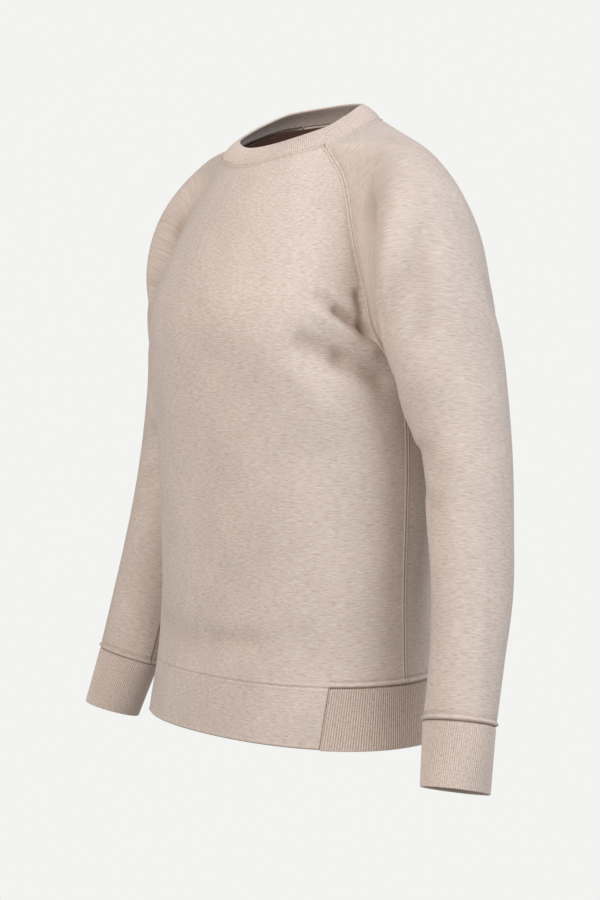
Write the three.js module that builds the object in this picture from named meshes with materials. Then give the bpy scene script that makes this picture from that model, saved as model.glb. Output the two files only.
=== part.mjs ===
// Crewneck sweatshirt with raglan sleeves, hollow as when it is worn, in millimetres with +Z up.
// The front faces -Y and the wearer's left arm is on +X. The origin is the middle of the neck
// opening, at the height where the neck seam crosses the tops of the shoulders.

import * as THREE from 'three';

// Driving dimensions
const FLEECE_WALL = 2.2;
const RIB_WALL = 2.6;
const RIB_HEIGHT = 0.6;
const RIB_PITCH = 2.35;
const FACING_WALL = 1.0;
const FACING_GAP = 0.75;
const SEAM_GAP = 0.3;
const MITRE_LIMIT = 2.2;
const MITRE_EASE = 0.02;
const SAME_POINT = 0.01;

const HEM_Z = -655;
const RIB_TOP_Z = -592;
const UNDERARM_Z = -262;
const SIDE_ANGLE = 90;
const FLAP_ANGLE_TOP = 62.3;
const FLAP_ANGLE_HEM = 60.1;
const SQUARENESS = 2.2;
const COLLAR_BULGE = 1.6;
const FACING_START_ROWS = 0.12;
const FACING_DEPTH_ROWS = 2.2;
const FACING_END_ROWS = 0.5;

// Grid counts: columns go round the garment and rows go up it
const FLAP_COLUMNS = 16;
const SIDE_COLUMNS = 4;
const FRONT_COLUMNS = FLAP_COLUMNS + 2 * SIDE_COLUMNS;
const BACK_COLUMNS = 20;
const FLAP_ROWS = 1;
const BODY_ROWS = 12;
const RAGLAN_ROWS = 10;
const NECK_ARC_COLUMNS = 6;
const SLEEVE_COLUMNS = 2 * RAGLAN_ROWS + NECK_ARC_COLUMNS;
const SLEEVE_ROWS = 16;
const COLLAR_ROWS = 2;
const FACING_ROWS = 6;
const BODY_ROW_BIAS = 1.35;
const SLEEVE_ROW_BIAS = 1.3;
const RAGLAN_ROW_BIAS = 1.3;

// Level sections of the body from hem to neck: half width, depth in front of and behind the
// section's middle, and where that middle lies on Y
const BODY_SECTIONS = [
  { z: -655, width: 194, front: 122, back: 120, middle: -13.5 },
  { z: -592, width: 180, front: 125, back: 119.5, middle: -7.5 },
  { z: -530, width: 172.5, front: 129.5, back: 119, middle: -2.5 },
  { z: -485, width: 170, front: 133, back: 118.5, middle: 0 },
  { z: -375, width: 170, front: 143, back: 117, middle: 3.5 },
  { z: -308, width: 169, front: 148, back: 115, middle: 2.5 },
  { z: -262, width: 166.5, front: 149.5, back: 114.5, middle: -1.5 },
  { z: -215, width: 160.5, front: 149, back: 114.5, middle: -7 },
  { z: -170, width: 150, front: 138, back: 114.5, middle: -8 },
  { z: -116, width: 131, front: 116.5, back: 108, middle: -4.5 },
  { z: -62, width: 108.5, front: 91.5, back: 98, middle: 0.5 },
  { z: -40, width: 99, front: 81, back: 91, middle: 3 },
  { z: -21, width: 91.5, front: 73, back: 86.5, middle: 5 },
  { z: 0, width: 84.5, front: 64, back: 82, middle: 6.5 },
  { z: 20, width: 77, front: 54, back: 78, middle: 8.5 },
];

// Neck seam height, and how far the collar leans in and stands up from it, by the angle from
// the middle of the front
const NECK = [
  { angle: 0, z: -46, inward: 16, upward: 19 },
  { angle: 30, z: -39, inward: 18.5, upward: 17 },
  { angle: 65, z: -25.5, inward: 18.5, upward: 17 },
  { angle: 90, z: -9, inward: 19.5, upward: 15.5 },
  { angle: 120, z: 5, inward: 19.5, upward: 15.5 },
  { angle: 180, z: 11, inward: 18.5, upward: 16.5 },
];

// Raglan seams from the underarm (share 0) to the neck (share 1)
const FRONT_RAGLAN = [
  { share: 0, angle: 90, z: -262 },
  { share: 0.08, angle: 85, z: -248 },
  { share: 0.189, angle: 80.5, z: -224 },
  { share: 0.321, angle: 79, z: -190 },
  { share: 0.575, angle: 76.2, z: -126 },
  { share: 0.826, angle: 74.5, z: -65 },
  { share: 0.922, angle: 69.5, z: -43 },
  { share: 1, angle: 63.5, z: -26.2 },
];
const BACK_RAGLAN = [
  { share: 0, angle: 90, z: -262 },
  { share: 0.084, angle: 98, z: -248 },
  { share: 0.189, angle: 105.5, z: -222 },
  { share: 0.34, angle: 112, z: -180 },
  { share: 0.519, angle: 118, z: -130 },
  { share: 0.733, angle: 124, z: -70 },
  { share: 1, angle: 130, z: 7 },
];

// Rings round the left arm from the shoulder to the cuff seam: the point nearest the body, the
// point farthest from it, the middle on Y and the half depth from front to back
const ARM_RINGS = [
  { innerX: 179, innerZ: -270, outerX: 169, outerZ: -29, middle: 18, depth: 61 },
  { innerX: 183.5, innerZ: -281, outerX: 207, outerZ: -67, middle: 11, depth: 73 },
  { innerX: 183, innerZ: -297, outerX: 232, outerZ: -125, middle: 16.5, depth: 69 },
  { innerX: 182, innerZ: -322, outerX: 250, outerZ: -194, middle: 22, depth: 65 },
  { innerX: 187, innerZ: -342, outerX: 268.5, outerZ: -268, middle: 23.5, depth: 56 },
  { innerX: 198, innerZ: -371, outerX: 284, outerZ: -343, middle: 21, depth: 49.5 },
  { innerX: 210.5, innerZ: -422, outerX: 294.5, outerZ: -415, middle: 14.5, depth: 46.5 },
  { innerX: 227, innerZ: -493, outerX: 305.5, outerZ: -483, middle: 4, depth: 43.5 },
  { innerX: 237.5, innerZ: -566, outerX: 313.5, outerZ: -547, middle: -12.5, depth: 38.5 },
  { innerX: 241, innerZ: -622, outerX: 323, outerZ: -611, middle: -29, depth: 33 },
];
const CUFF_END = { x: 294, y: -46, z: -679, long: 36, short: 32.5, turn: 62 };
const NECK_ARC_START = RAGLAN_ROWS / SLEEVE_COLUMNS;
const RING_ARC_START = 0.44;
const RING_SHARE_POWER = 0.78;
const EVEN_RING = 6;
const UNDERARM_LEAD = 0.045;

// Soft folds, each a ridge or a trough along a line, with its height and its half width. On the
// body a place is the angle from the middle of the front and the height, on a sleeve it is the
// shares round it and down it.
const BODY_FOLDS = {
  period: 360,
  acrossLength: 2.8,
  alongLength: 1,
  lines: [
    { across: 58, along: -241, toAcross: 83, toAlong: -270, rise: -5.5, half: 22 },
    { across: 62, along: -194, toAcross: 77, toAlong: -222, rise: -3, half: 20 },
    { across: 40, along: -250, toAcross: 57, toAlong: -312, rise: 2.5, half: 26 },
    { across: -60, along: -243, toAcross: -83, toAlong: -272, rise: -5, half: 22 },
    { across: -43, along: -262, toAcross: -60, toAlong: -318, rise: 2.5, half: 26 },
    { across: -8, along: -566, toAcross: 50, toAlong: -546, rise: -2.5, half: 22 },
    { across: 122, along: -236, toAcross: 99, toAlong: -272, rise: -4, half: 24 },
    { across: -120, along: -240, toAcross: -98, toAlong: -275, rise: -4, half: 24 },
    { across: 146, along: -548, toAcross: 212, toAlong: -560, rise: -3, half: 24 },
  ],
};
const SLEEVE_FOLDS = {
  period: 1,
  acrossLength: 300,
  alongLength: 600,
  lines: [
    { across: 0.365, along: 0.23, toAcross: 0.295, toAlong: 0.31, rise: -3, half: 20 },
    { across: 0.66, along: 0.26, toAcross: 0.8, toAlong: 0.34, rise: -3.5, half: 22 },
    { across: 0.1, along: 0.5, toAcross: 0.24, toAlong: 0.54, rise: -2.5, half: 18 },
  ],
};

const COLOURS = {
  fleece: { color: '#cfc1b6', roughness: 0.95, metalness: 0 },
  rib: { color: '#b9a79b', roughness: 0.95, metalness: 0 },
  facing: { color: '#5a3b2e', roughness: 0.9, metalness: 0 },
};

// Value of every column of a table at a place along its key column, on a smooth curve through
// the rows. Flat ends suit a table whose two ends lie on the garment's middle.
function smoothRow(table, key, at, flatEnds = false) {
  const last = table.length - 1;
  let row = 0;
  while (row < last - 1 && at > table[row + 1][key]) row += 1;
  const low = table[row];
  const high = table[row + 1];
  const span = high[key] - low[key];
  const t = (at - low[key]) / span;
  const slope = (column, k) => {
    if (flatEnds && (k === 0 || k === last)) return 0;
    const before = table[Math.max(k - 1, 0)];
    const after = table[Math.min(k + 1, last)];
    return (after[column] - before[column]) / (after[key] - before[key]);
  };
  const value = {};
  for (const column of Object.keys(low)) {
    value[column] = (2 * t ** 3 - 3 * t ** 2 + 1) * low[column]
      + (t ** 3 - 2 * t ** 2 + t) * span * slope(column, row)
      + (3 * t ** 2 - 2 * t ** 3) * high[column]
      + (t ** 3 - t ** 2) * span * slope(column, row + 1);
  }
  return value;
}

const blendNumbers = (a, b, t) => a + (b - a) * t;

// Height of the folds of one table at a place
function foldRise({ period, acrossLength, alongLength, lines }, across, along) {
  let total = 0;
  for (const { across: fromAcross, along: fromAlong, toAcross, toAlong, rise, half } of lines) {
    const turned = THREE.MathUtils.euclideanModulo(across - fromAcross + period / 2, period) - period / 2;
    const place = new THREE.Vector2(turned * acrossLength, (along - fromAlong) * alongLength);
    const line = new THREE.Vector2(toAcross - fromAcross, toAlong - fromAlong);
    line.multiply(new THREE.Vector2(acrossLength, alongLength));
    const part = THREE.MathUtils.clamp(place.dot(line) / line.lengthSq(), 0, 1);
    total += rise * Math.exp(-((place.addScaledVector(line, -part).length() / half) ** 2));
  }
  return total;
}

// Point of the body's form at an angle from the middle of the front, turning to the left side
function bodyPoint(angle, z) {
  const section = smoothRow(BODY_SECTIONS, 'z', z);
  const sine = Math.sin(THREE.MathUtils.degToRad(angle));
  const cosine = Math.cos(THREE.MathUtils.degToRad(angle));
  const depth = cosine > 0 ? section.front : section.back;
  const sum = Math.abs(sine / section.width) ** SQUARENESS
    + Math.abs(cosine / depth) ** SQUARENESS;
  const reach = sum ** (-1 / SQUARENESS) + foldRise(BODY_FOLDS, angle, z);
  return new THREE.Vector3(reach * sine, section.middle - reach * cosine, z);
}

// Row of the neck table at any angle, the same on both sides
function neckAt(angle) {
  const turned = Math.abs(THREE.MathUtils.euclideanModulo(angle + 180, 360) - 180);
  return smoothRow(NECK, 'angle', turned, true);
}

for (const raglan of [FRONT_RAGLAN, BACK_RAGLAN]) {
  const top = raglan[raglan.length - 1];
  top.z = neckAt(top.angle).z;
}

const neckPoint = (angle) => bodyPoint(angle, neckAt(angle).z);

// Share of the way round at each column, from -1 to 1. The front's columns keep the flap's
// edges on columns of their own.
function frontShare(column) {
  const flapShare = FLAP_ANGLE_TOP / SIDE_ANGLE;
  const fromMiddle = column - FRONT_COLUMNS / 2;
  const half = FLAP_COLUMNS / 2;
  const beyond = Math.abs(fromMiddle) - half;
  if (beyond <= 0) return (fromMiddle / half) * flapShare;
  return Math.sign(fromMiddle) * (flapShare + (beyond / SIDE_COLUMNS) * (1 - flapShare));
}

const backShare = (column) => (2 * column) / BACK_COLUMNS - 1;

// Place on a front or back panel, as its angle from that panel's middle and its height
function panelPlace(share, row, raglan, farNeck) {
  if (row < FLAP_ROWS) {
    const z = blendNumbers(HEM_Z, RIB_TOP_Z, row / FLAP_ROWS);
    const flap = blendNumbers(FLAP_ANGLE_HEM, FLAP_ANGLE_TOP, row / FLAP_ROWS);
    return { angle: (share * SIDE_ANGLE * flap) / FLAP_ANGLE_TOP, z };
  }
  if (row <= FLAP_ROWS + BODY_ROWS) {
    const down = 1 - (row - FLAP_ROWS) / BODY_ROWS;
    return { angle: share * SIDE_ANGLE, z: blendNumbers(UNDERARM_Z, RIB_TOP_Z, down ** BODY_ROW_BIAS) };
  }
  const up = ((row - FLAP_ROWS - BODY_ROWS) / RAGLAN_ROWS) ** RAGLAN_ROW_BIAS;
  const seam = smoothRow(raglan, 'share', up);
  const top = raglan[raglan.length - 1];
  const half = farNeck ? 180 - seam.angle : seam.angle;
  const neckHalf = farNeck ? 180 - top.angle : top.angle;
  const neckAngle = farNeck ? 180 - neckHalf * share : neckHalf * share;
  const dip = neckAt(neckAngle).z - top.z;
  return { angle: half * share, z: seam.z + dip * up ** 2 };
}

function frontPoint(column, row) {
  const place = panelPlace(frontShare(column), row, FRONT_RAGLAN, false);
  return bodyPoint(place.angle, place.z);
}

function backPoint(column, row) {
  const place = panelPlace(backShare(column), row + FLAP_ROWS, BACK_RAGLAN, true);
  return bodyPoint(180 + place.angle, place.z);
}

// Armhole loop of one side: up the front raglan seam, back along the neck, and down the back one.
// The share u runs once round, and counts the raglan seams in the same steps as the panels do.
function armholePoint(side, u) {
  const raglan = u < 0.5 ? FRONT_RAGLAN : BACK_RAGLAN;
  const fromUnderarm = Math.min(u, 1 - u);
  if (fromUnderarm < NECK_ARC_START) {
    const seam = smoothRow(raglan, 'share', (fromUnderarm / NECK_ARC_START) ** RAGLAN_ROW_BIAS);
    return bodyPoint(side * seam.angle, seam.z);
  }
  return neckPoint(side * neckArcAngle((u - NECK_ARC_START) / (1 - 2 * NECK_ARC_START)));
}

function neckArcAngle(along) {
  const front = FRONT_RAGLAN[FRONT_RAGLAN.length - 1].angle;
  const back = BACK_RAGLAN[BACK_RAGLAN.length - 1].angle;
  return blendNumbers(front, back, along);
}

function ringMiddle(ring) {
  return new THREE.Vector3((ring.innerX + ring.outerX) / 2, ring.middle, (ring.innerZ + ring.outerZ) / 2);
}

// The two half axes of an arm ring: away from the body, and forward, square to the arm
function ringAxes(k) {
  const ring = ARM_RINGS[k];
  const before = ringMiddle(ARM_RINGS[Math.max(k - 1, 0)]);
  const after = ringMiddle(ARM_RINGS[Math.min(k + 1, ARM_RINGS.length - 1)]);
  const along = after.sub(before).normalize();
  const away = new THREE.Vector3(ring.outerX - ring.innerX, 0, ring.outerZ - ring.innerZ).divideScalar(2);
  const forward = new THREE.Vector3(0, -1, 0);
  forward.addScaledVector(along, -forward.dot(along)).normalize();
  return { away, forward };
}

// Turn round arm ring k, as a share, of the sleeve's line u. Near the armhole the lines spread so
// that they leave the raglan seams squarely, with the one under the arm ahead of the ring's inner
// point, and down the arm they even out.
function ringTurn(k, u) {
  const fromUnderarm = Math.min(u, 1 - u);
  const past = (fromUnderarm - NECK_ARC_START) / (0.5 - NECK_ARC_START);
  const leaving = past < 0
    ? RING_ARC_START * (fromUnderarm / NECK_ARC_START) ** RING_SHARE_POWER
    : blendNumbers(RING_ARC_START, 0.5, past);
  const near = 1 - Math.min(k / EVEN_RING, 1);
  const turn = blendNumbers(fromUnderarm, leaving, near);
  const lead = UNDERARM_LEAD * near * Math.max(0, 1 - fromUnderarm / NECK_ARC_START);
  return (u < 0.5 ? turn : 1 - turn) + lead;
}

function ringPoint(k, u) {
  const { away, forward } = ringAxes(k);
  const turn = 2 * Math.PI * ringTurn(k, u);
  return ringMiddle(ARM_RINGS[k])
    .addScaledVector(away, -Math.cos(turn))
    .addScaledVector(forward, Math.sin(turn) * ARM_RINGS[k].depth);
}

const mirrored = (point, side) => new THREE.Vector3(point.x * side, point.y, point.z);

function armholeMiddle() {
  const sum = new THREE.Vector3();
  for (let column = 0; column < SLEEVE_COLUMNS; column += 1) {
    sum.add(armholePoint(1, column / SLEEVE_COLUMNS));
  }
  return sum.divideScalar(SLEEVE_COLUMNS);
}

// Distances of the arm rings along the arm, from the armhole
function ringKnots() {
  const knots = [0];
  let previous = armholeMiddle();
  for (const ring of ARM_RINGS) {
    const middle = ringMiddle(ring);
    knots.push(knots[knots.length - 1] + middle.distanceTo(previous));
    previous = middle;
  }
  return knots;
}

const KNOTS = ringKnots();

// Point of a sleeve at a share u round it and a share v down it, through the armhole and rings
function sleevePoint(side, u, v) {
  const line = [armholePoint(side, u)];
  for (let k = 0; k < ARM_RINGS.length; k += 1) line.push(mirrored(ringPoint(k, u), side));
  const table = line.map((point, k) => ({ at: KNOTS[k], x: point.x, y: point.y, z: point.z }));
  const place = smoothRow(table, 'at', v * KNOTS[KNOTS.length - 1]);
  return new THREE.Vector3(place.x, place.y, place.z);
}

// The same with the sleeve's folds, which rise away from the middle of the arm
function foldedSleevePoint(side, u, v) {
  const point = sleevePoint(side, u, v);
  const outward = point.clone().sub(sleevePoint(side, (u + 0.5) % 1, v)).normalize();
  return point.addScaledVector(outward, foldRise(SLEEVE_FOLDS, u, v));
}

// Share round the sleeve of one of its columns, which run the other way round on the right arm
function sleeveShare(side, column) {
  const left = side > 0 ? column : SLEEVE_COLUMNS - column;
  return (left % SLEEVE_COLUMNS) / SLEEVE_COLUMNS;
}

function sleeveGridPoint(side, column, row) {
  const down = ((SLEEVE_ROWS - row) / SLEEVE_ROWS) ** SLEEVE_ROW_BIAS;
  return foldedSleevePoint(side, sleeveShare(side, column), down);
}

function cuffPoint(side, column, row) {
  const u = sleeveShare(side, column);
  if (row === 1) return foldedSleevePoint(side, u, 1);
  const { away, forward } = ringAxes(ARM_RINGS.length - 1);
  const turn = 2 * Math.PI * u;
  const slant = THREE.MathUtils.degToRad(CUFF_END.turn);
  const round = new THREE.Vector2(-Math.cos(turn), -Math.sin(turn));
  const long = new THREE.Vector2(Math.cos(slant), Math.sin(slant));
  const short = new THREE.Vector2(-Math.sin(slant), Math.cos(slant));
  const plan = long.clone().multiplyScalar(CUFF_END.long * round.dot(long));
  plan.addScaledVector(short, CUFF_END.short * round.dot(short));
  const point = new THREE.Vector3(CUFF_END.x, CUFF_END.y, CUFF_END.z);
  point.addScaledVector(away.normalize(), plan.x).addScaledVector(forward, -plan.y);
  return mirrored(point, side);
}

// Angles at which the neck loop's columns stand, from the front's right corner round to it again
function neckAngle(column) {
  const front = FRONT_RAGLAN[FRONT_RAGLAN.length - 1].angle;
  const back = BACK_RAGLAN[BACK_RAGLAN.length - 1].angle;
  if (column <= FRONT_COLUMNS) return front * frontShare(column);
  const left = column - FRONT_COLUMNS;
  if (left <= NECK_ARC_COLUMNS) return neckArcAngle(left / NECK_ARC_COLUMNS);
  const behind = left - NECK_ARC_COLUMNS;
  if (behind <= BACK_COLUMNS) return 180 + (180 - back) * backShare(behind);
  return 360 - neckArcAngle(1 - (behind - BACK_COLUMNS) / NECK_ARC_COLUMNS);
}

function collarPoint(column, row) {
  const angle = neckAngle(column);
  const seam = neckPoint(angle);
  const { inward, upward } = neckAt(angle);
  const turn = THREE.MathUtils.degToRad(angle);
  const outward = new THREE.Vector3(Math.sin(turn), -Math.cos(turn), 0);
  const rise = row / COLLAR_ROWS;
  const length = Math.hypot(inward, upward);
  const bulge = (COLLAR_BULGE * 4 * rise * (1 - rise)) / length;
  seam.addScaledVector(outward, -inward * rise + bulge * upward);
  seam.z += upward * rise + bulge * inward;
  return seam;
}

// Point of the hem rib, which runs from the flap's left edge round the back to its right edge
function hemRibPoint(column, row) {
  const z = blendNumbers(HEM_Z, RIB_TOP_Z, row / FLAP_ROWS);
  const edge = blendNumbers(FLAP_ANGLE_HEM, FLAP_ANGLE_TOP, row / FLAP_ROWS);
  const stretch = (SIDE_ANGLE - edge) / (SIDE_ANGLE - FLAP_ANGLE_TOP);
  const behind = column - SIDE_COLUMNS;
  if (behind < 0) {
    const share = frontShare(FRONT_COLUMNS + behind);
    return bodyPoint(SIDE_ANGLE * (1 - (1 - share) * stretch), z);
  }
  if (behind <= BACK_COLUMNS) return bodyPoint(180 + SIDE_ANGLE * backShare(behind), z);
  const share = frontShare(behind - BACK_COLUMNS);
  return bodyPoint(-SIDE_ANGLE * (1 - (1 + share) * stretch), z);
}

// Grid of outer points with the cells that the cloth covers. Columns run anticlockwise seen from
// above and rows run up, so each cell faces out. A band's seam row sets how many ribs it has.
function makeCloth({ name, finish, wall, columns, rows, pointAt, around = false, covers, seamRow }) {
  const standing = around ? columns : columns + 1;
  const index = (column, row) => (column % standing) * (rows + 1) + row;
  const points = [];
  for (let column = 0; column < standing; column += 1) {
    for (let row = 0; row <= rows; row += 1) points.push(pointAt(column, row));
  }
  const cells = [];
  for (let column = 0; column < columns; column += 1) {
    for (let row = 0; row < rows; row += 1) {
      if (covers && !covers(column, row)) continue;
      const corners = [index(column, row), index(column + 1, row)];
      corners.push(index(column + 1, row + 1), index(column, row + 1));
      cells.push({ column, corners });
    }
  }
  const ribbed = seamRow !== undefined;
  const normals = cellNormals(points, cells);
  return { name, finish, wall, rows, index, points, cells, ribbed, seamRow, normals, reach: new Map() };
}

// Unit normals of the cells round each grid point that the cloth uses
function cellNormals(points, cells) {
  const normals = new Map();
  for (const { corners } of cells) {
    const [a, b, c, d] = corners.map((i) => points[i]);
    const normal = c.clone().sub(a).cross(d.clone().sub(b)).normalize();
    for (const i of corners) normals.set(i, [...(normals.get(i) ?? []), normal]);
  }
  return normals;
}

// Direction, as a multiple of the wall, that stands one wall off every face with these normals,
// eased so that it doesn't run out to a spike at a sharp fold
function mitreOf(normals) {
  const sum = new THREE.Vector3();
  const rows = ['x', 'y', 'z'].map(() => new THREE.Vector3());
  for (const normal of normals) {
    sum.add(normal);
    normal.toArray().forEach((part, k) => rows[k].addScaledVector(normal, part));
  }
  rows.forEach((row, k) => row.setComponent(k, row.getComponent(k) + MITRE_EASE * normals.length));
  const products = new THREE.Matrix3().set(...rows.flatMap((row) => row.toArray()));
  return sum.applyMatrix3(products.invert()).clampLength(0, MITRE_LIMIT);
}

// Gives each grid point the direction of its wall, the same one for all the pieces that meet
// there, so that their edges lie face to face
function joinWalls(cloths) {
  const meeting = new Map();
  for (const cloth of cloths) {
    for (const [i, normals] of cloth.normals) {
      const key = cloth.points[i].toArray().map((value) => Math.round(value / SAME_POINT)).join();
      if (!meeting.has(key)) meeting.set(key, []);
      meeting.get(key).push({ cloth, i, normals });
    }
  }
  for (const group of meeting.values()) {
    const direction = mitreOf(group.flatMap(({ normals }) => normals));
    for (const { cloth, i } of group) cloth.reach.set(i, direction);
  }
}

// Directed edges that only one cell has
function openEdges(cells) {
  const edges = new Map();
  for (const { corners } of cells) {
    corners.forEach((a, k) => {
      const b = corners[(k + 1) % corners.length];
      edges.set(`${a},${b}`, [a, b]);
    });
  }
  return [...edges.values()].filter(([a, b]) => !edges.has(`${b},${a}`));
}

// How far each point on an open edge moves into the cloth, to leave half the gap of a seam
function seamShifts({ points, reach, cells }) {
  const inward = new Map();
  for (const [a, b] of openEdges(cells)) {
    const along = points[b].clone().sub(points[a]);
    const square = reach.get(a).clone().add(reach.get(b)).cross(along).normalize();
    for (const i of [a, b]) inward.set(i, [...(inward.get(i) ?? []), square]);
  }
  for (const [i, [first, second]] of inward) {
    const corner = first.clone().add(second);
    inward.set(i, corner.multiplyScalar(SEAM_GAP / 2 / (1 + first.dot(second))));
  }
  return inward;
}

// Outer and inner surface points of a cloth, after the seam gaps
function clothSurfaces(cloth) {
  const shifts = seamShifts(cloth);
  const outer = new Map();
  const inner = new Map();
  for (const [i, direction] of cloth.reach) {
    const point = cloth.points[i].clone();
    if (shifts.has(i)) point.add(shifts.get(i));
    outer.set(i, point);
    inner.set(i, point.clone().addScaledVector(direction, -cloth.wall));
  }
  return { outer, inner };
}

// Ribs between a grid column and the next, by the distance between them at the band's seam
function ribsAt({ points, index, seamRow }, column) {
  const span = points[index(column, seamRow)].distanceTo(points[index(column + 1, seamRow)]);
  return Math.max(1, Math.round(span / RIB_PITCH));
}

// Whether the first point is the lower one along a slanted direction. Both pieces at a seam split
// the faces of their edges by it, so that a twisted seam's edges have the same shape.
const SPLIT_DIRECTION = new THREE.Vector3(0.11, 0.37, 1);
const lowerOf = (a, b) => a.dot(SPLIT_DIRECTION) < b.dot(SPLIT_DIRECTION);

// Closed wall of a cloth. On a ribbed one the outer points rise and fall between the grid's
// columns, once for each rib, over a plain inside.
function wallGeometry(cloth) {
  const { outer, inner } = clothSurfaces(cloth);
  const positions = [];
  const addPoint = (point) => positions.push(point.x, point.y, point.z) / 3 - 1;
  const outerIds = new Map([...outer].map(([i, point]) => [i, addPoint(point)]));
  const innerIds = new Map([...inner].map(([i, point]) => [i, addPoint(point)]));

  const chains = new Map();
  const ribChain = (a, b, ribs) => {
    const chain = [outerIds.get(a)];
    for (let step = 1; step < 2 * ribs; step += 1) {
      const t = step / (2 * ribs);
      const point = outer.get(a).clone().lerp(outer.get(b), t);
      const direction = cloth.reach.get(a).clone().lerp(cloth.reach.get(b), t);
      chain.push(addPoint(point.addScaledVector(direction, (step % 2) * RIB_HEIGHT)));
    }
    return [...chain, outerIds.get(b)];
  };
  const keepChain = (a, b, ribs) => {
    if (chains.has(`${a},${b}`)) return;
    const chain = ribChain(a, b, ribs);
    chains.set(`${a},${b}`, chain);
    chains.set(`${b},${a}`, [...chain].reverse());
  };
  const chainOf = (a, b) => chains.get(`${a},${b}`) ?? [outerIds.get(a), outerIds.get(b)];

  const faces = [];
  for (const { column, corners: [p, q, s, t] } of cloth.cells) {
    if (cloth.ribbed) {
      keepChain(p, q, ribsAt(cloth, column));
      keepChain(t, s, ribsAt(cloth, column));
    }
    const low = chainOf(p, q);
    const high = chainOf(t, s);
    for (let k = 0; k + 1 < low.length; k += 1) {
      faces.push(low[k], low[k + 1], high[k + 1], low[k], high[k + 1], high[k]);
    }
    const [pi, qi, si, ti] = [p, q, s, t].map((i) => innerIds.get(i));
    faces.push(pi, si, qi, pi, ti, si);
  }
  for (const [a, b] of openEdges(cloth.cells)) {
    const chain = chainOf(a, b);
    const low = lowerOf(cloth.points[a], cloth.points[b]);
    const hub = innerIds.get(low ? b : a);
    for (let k = 0; k + 1 < chain.length; k += 1) faces.push(chain[k + 1], chain[k], hub);
    faces.push(chain[low ? 0 : chain.length - 1], innerIds.get(a), innerIds.get(b));
  }

  const geometry = new THREE.BufferGeometry();
  geometry.setAttribute('position', new THREE.Float32BufferAttribute(positions, 3));
  geometry.setIndex(faces);
  geometry.computeVertexNormals();
  return geometry;
}

function makeFront() {
  const lastFlapColumn = FRONT_COLUMNS - SIDE_COLUMNS;
  return makeCloth({
    name: 'front',
    finish: 'fleece',
    wall: FLEECE_WALL,
    columns: FRONT_COLUMNS,
    rows: FLAP_ROWS + BODY_ROWS + RAGLAN_ROWS,
    pointAt: frontPoint,
    covers: (column, row) => row >= FLAP_ROWS || (column >= SIDE_COLUMNS && column < lastFlapColumn),
  });
}

function makeBack() {
  return makeCloth({
    name: 'back',
    finish: 'fleece',
    wall: FLEECE_WALL,
    columns: BACK_COLUMNS,
    rows: BODY_ROWS + RAGLAN_ROWS,
    pointAt: backPoint,
  });
}

function makeSleeve(name, side) {
  return makeCloth({
    name,
    finish: 'fleece',
    wall: FLEECE_WALL,
    columns: SLEEVE_COLUMNS,
    rows: SLEEVE_ROWS,
    pointAt: (column, row) => sleeveGridPoint(side, column, row),
    around: true,
  });
}

function makeCuff(name, side) {
  return makeCloth({
    name,
    finish: 'rib',
    wall: RIB_WALL,
    columns: SLEEVE_COLUMNS,
    rows: 1,
    pointAt: (column, row) => cuffPoint(side, column, row),
    around: true,
    seamRow: 1,
  });
}

function makeCollar() {
  return makeCloth({
    name: 'collar',
    finish: 'rib',
    wall: RIB_WALL,
    columns: FRONT_COLUMNS + BACK_COLUMNS + 2 * NECK_ARC_COLUMNS,
    rows: COLLAR_ROWS,
    pointAt: collarPoint,
    around: true,
    seamRow: 0,
  });
}

function makeHemRib() {
  return makeCloth({
    name: 'hem_rib',
    finish: 'rib',
    wall: RIB_WALL,
    columns: BACK_COLUMNS + 2 * SIDE_COLUMNS,
    rows: FLAP_ROWS,
    pointAt: hemRibPoint,
    seamRow: FLAP_ROWS,
  });
}

// Half moon inside the back of the neck, made from the back panel's inner points moved in
function makeNeckFacing(back) {
  const { inner } = clothSurfaces(back);
  const widest = backShare(BACK_COLUMNS - 1);
  return makeCloth({
    name: 'neck_facing',
    finish: 'facing',
    wall: FACING_WALL,
    columns: BACK_COLUMNS - 2,
    rows: FACING_ROWS,
    pointAt: (column, row) => {
      const moon = Math.sqrt(Math.max(0, 1 - (backShare(column + 1) / widest) ** 2));
      const depth = blendNumbers(FACING_END_ROWS, FACING_DEPTH_ROWS, moon);
      const height = back.rows - FACING_START_ROWS - depth * (1 - row / FACING_ROWS);
      const low = back.index(column + 1, Math.floor(height));
      const part = height - Math.floor(height);
      const direction = back.reach.get(low).clone().lerp(back.reach.get(low + 1), part);
      return inner.get(low).clone().lerp(inner.get(low + 1), part).addScaledVector(direction, -FACING_GAP);
    },
  });
}

function makeMesh(cloth) {
  const mesh = new THREE.Mesh(wallGeometry(cloth), new THREE.MeshStandardMaterial(COLOURS[cloth.finish]));
  mesh.name = cloth.name;
  return mesh;
}

const back = makeBack();
const sewn = [
  makeFront(),
  back,
  makeSleeve('sleeve_left', 1),
  makeSleeve('sleeve_right', -1),
  makeCollar(),
  makeHemRib(),
  makeCuff('cuff_left', 1),
  makeCuff('cuff_right', -1),
];
joinWalls(sewn);
const facing = makeNeckFacing(back);
joinWalls([facing]);

const sweatshirt = new THREE.Group();
sweatshirt.name = 'crewneck_sweatshirt';
for (const cloth of [...sewn, facing]) sweatshirt.add(makeMesh(cloth));

export default sweatshirt;
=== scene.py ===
"""Crewneck sweatshirt with raglan sleeves, worn and hollow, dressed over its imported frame.

Sizes are in millimetres in the tables and in metres in the meshes. The front faces -Y, the
wearer's left arm is on +X, and the origin is the middle of the neck opening.
"""

from __future__ import annotations

import logging
import math
from dataclasses import dataclass, field
from enum import Enum
from typing import Callable, Sequence

import bmesh
import bpy
import numpy as np
from mathutils import Matrix, Vector

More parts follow.
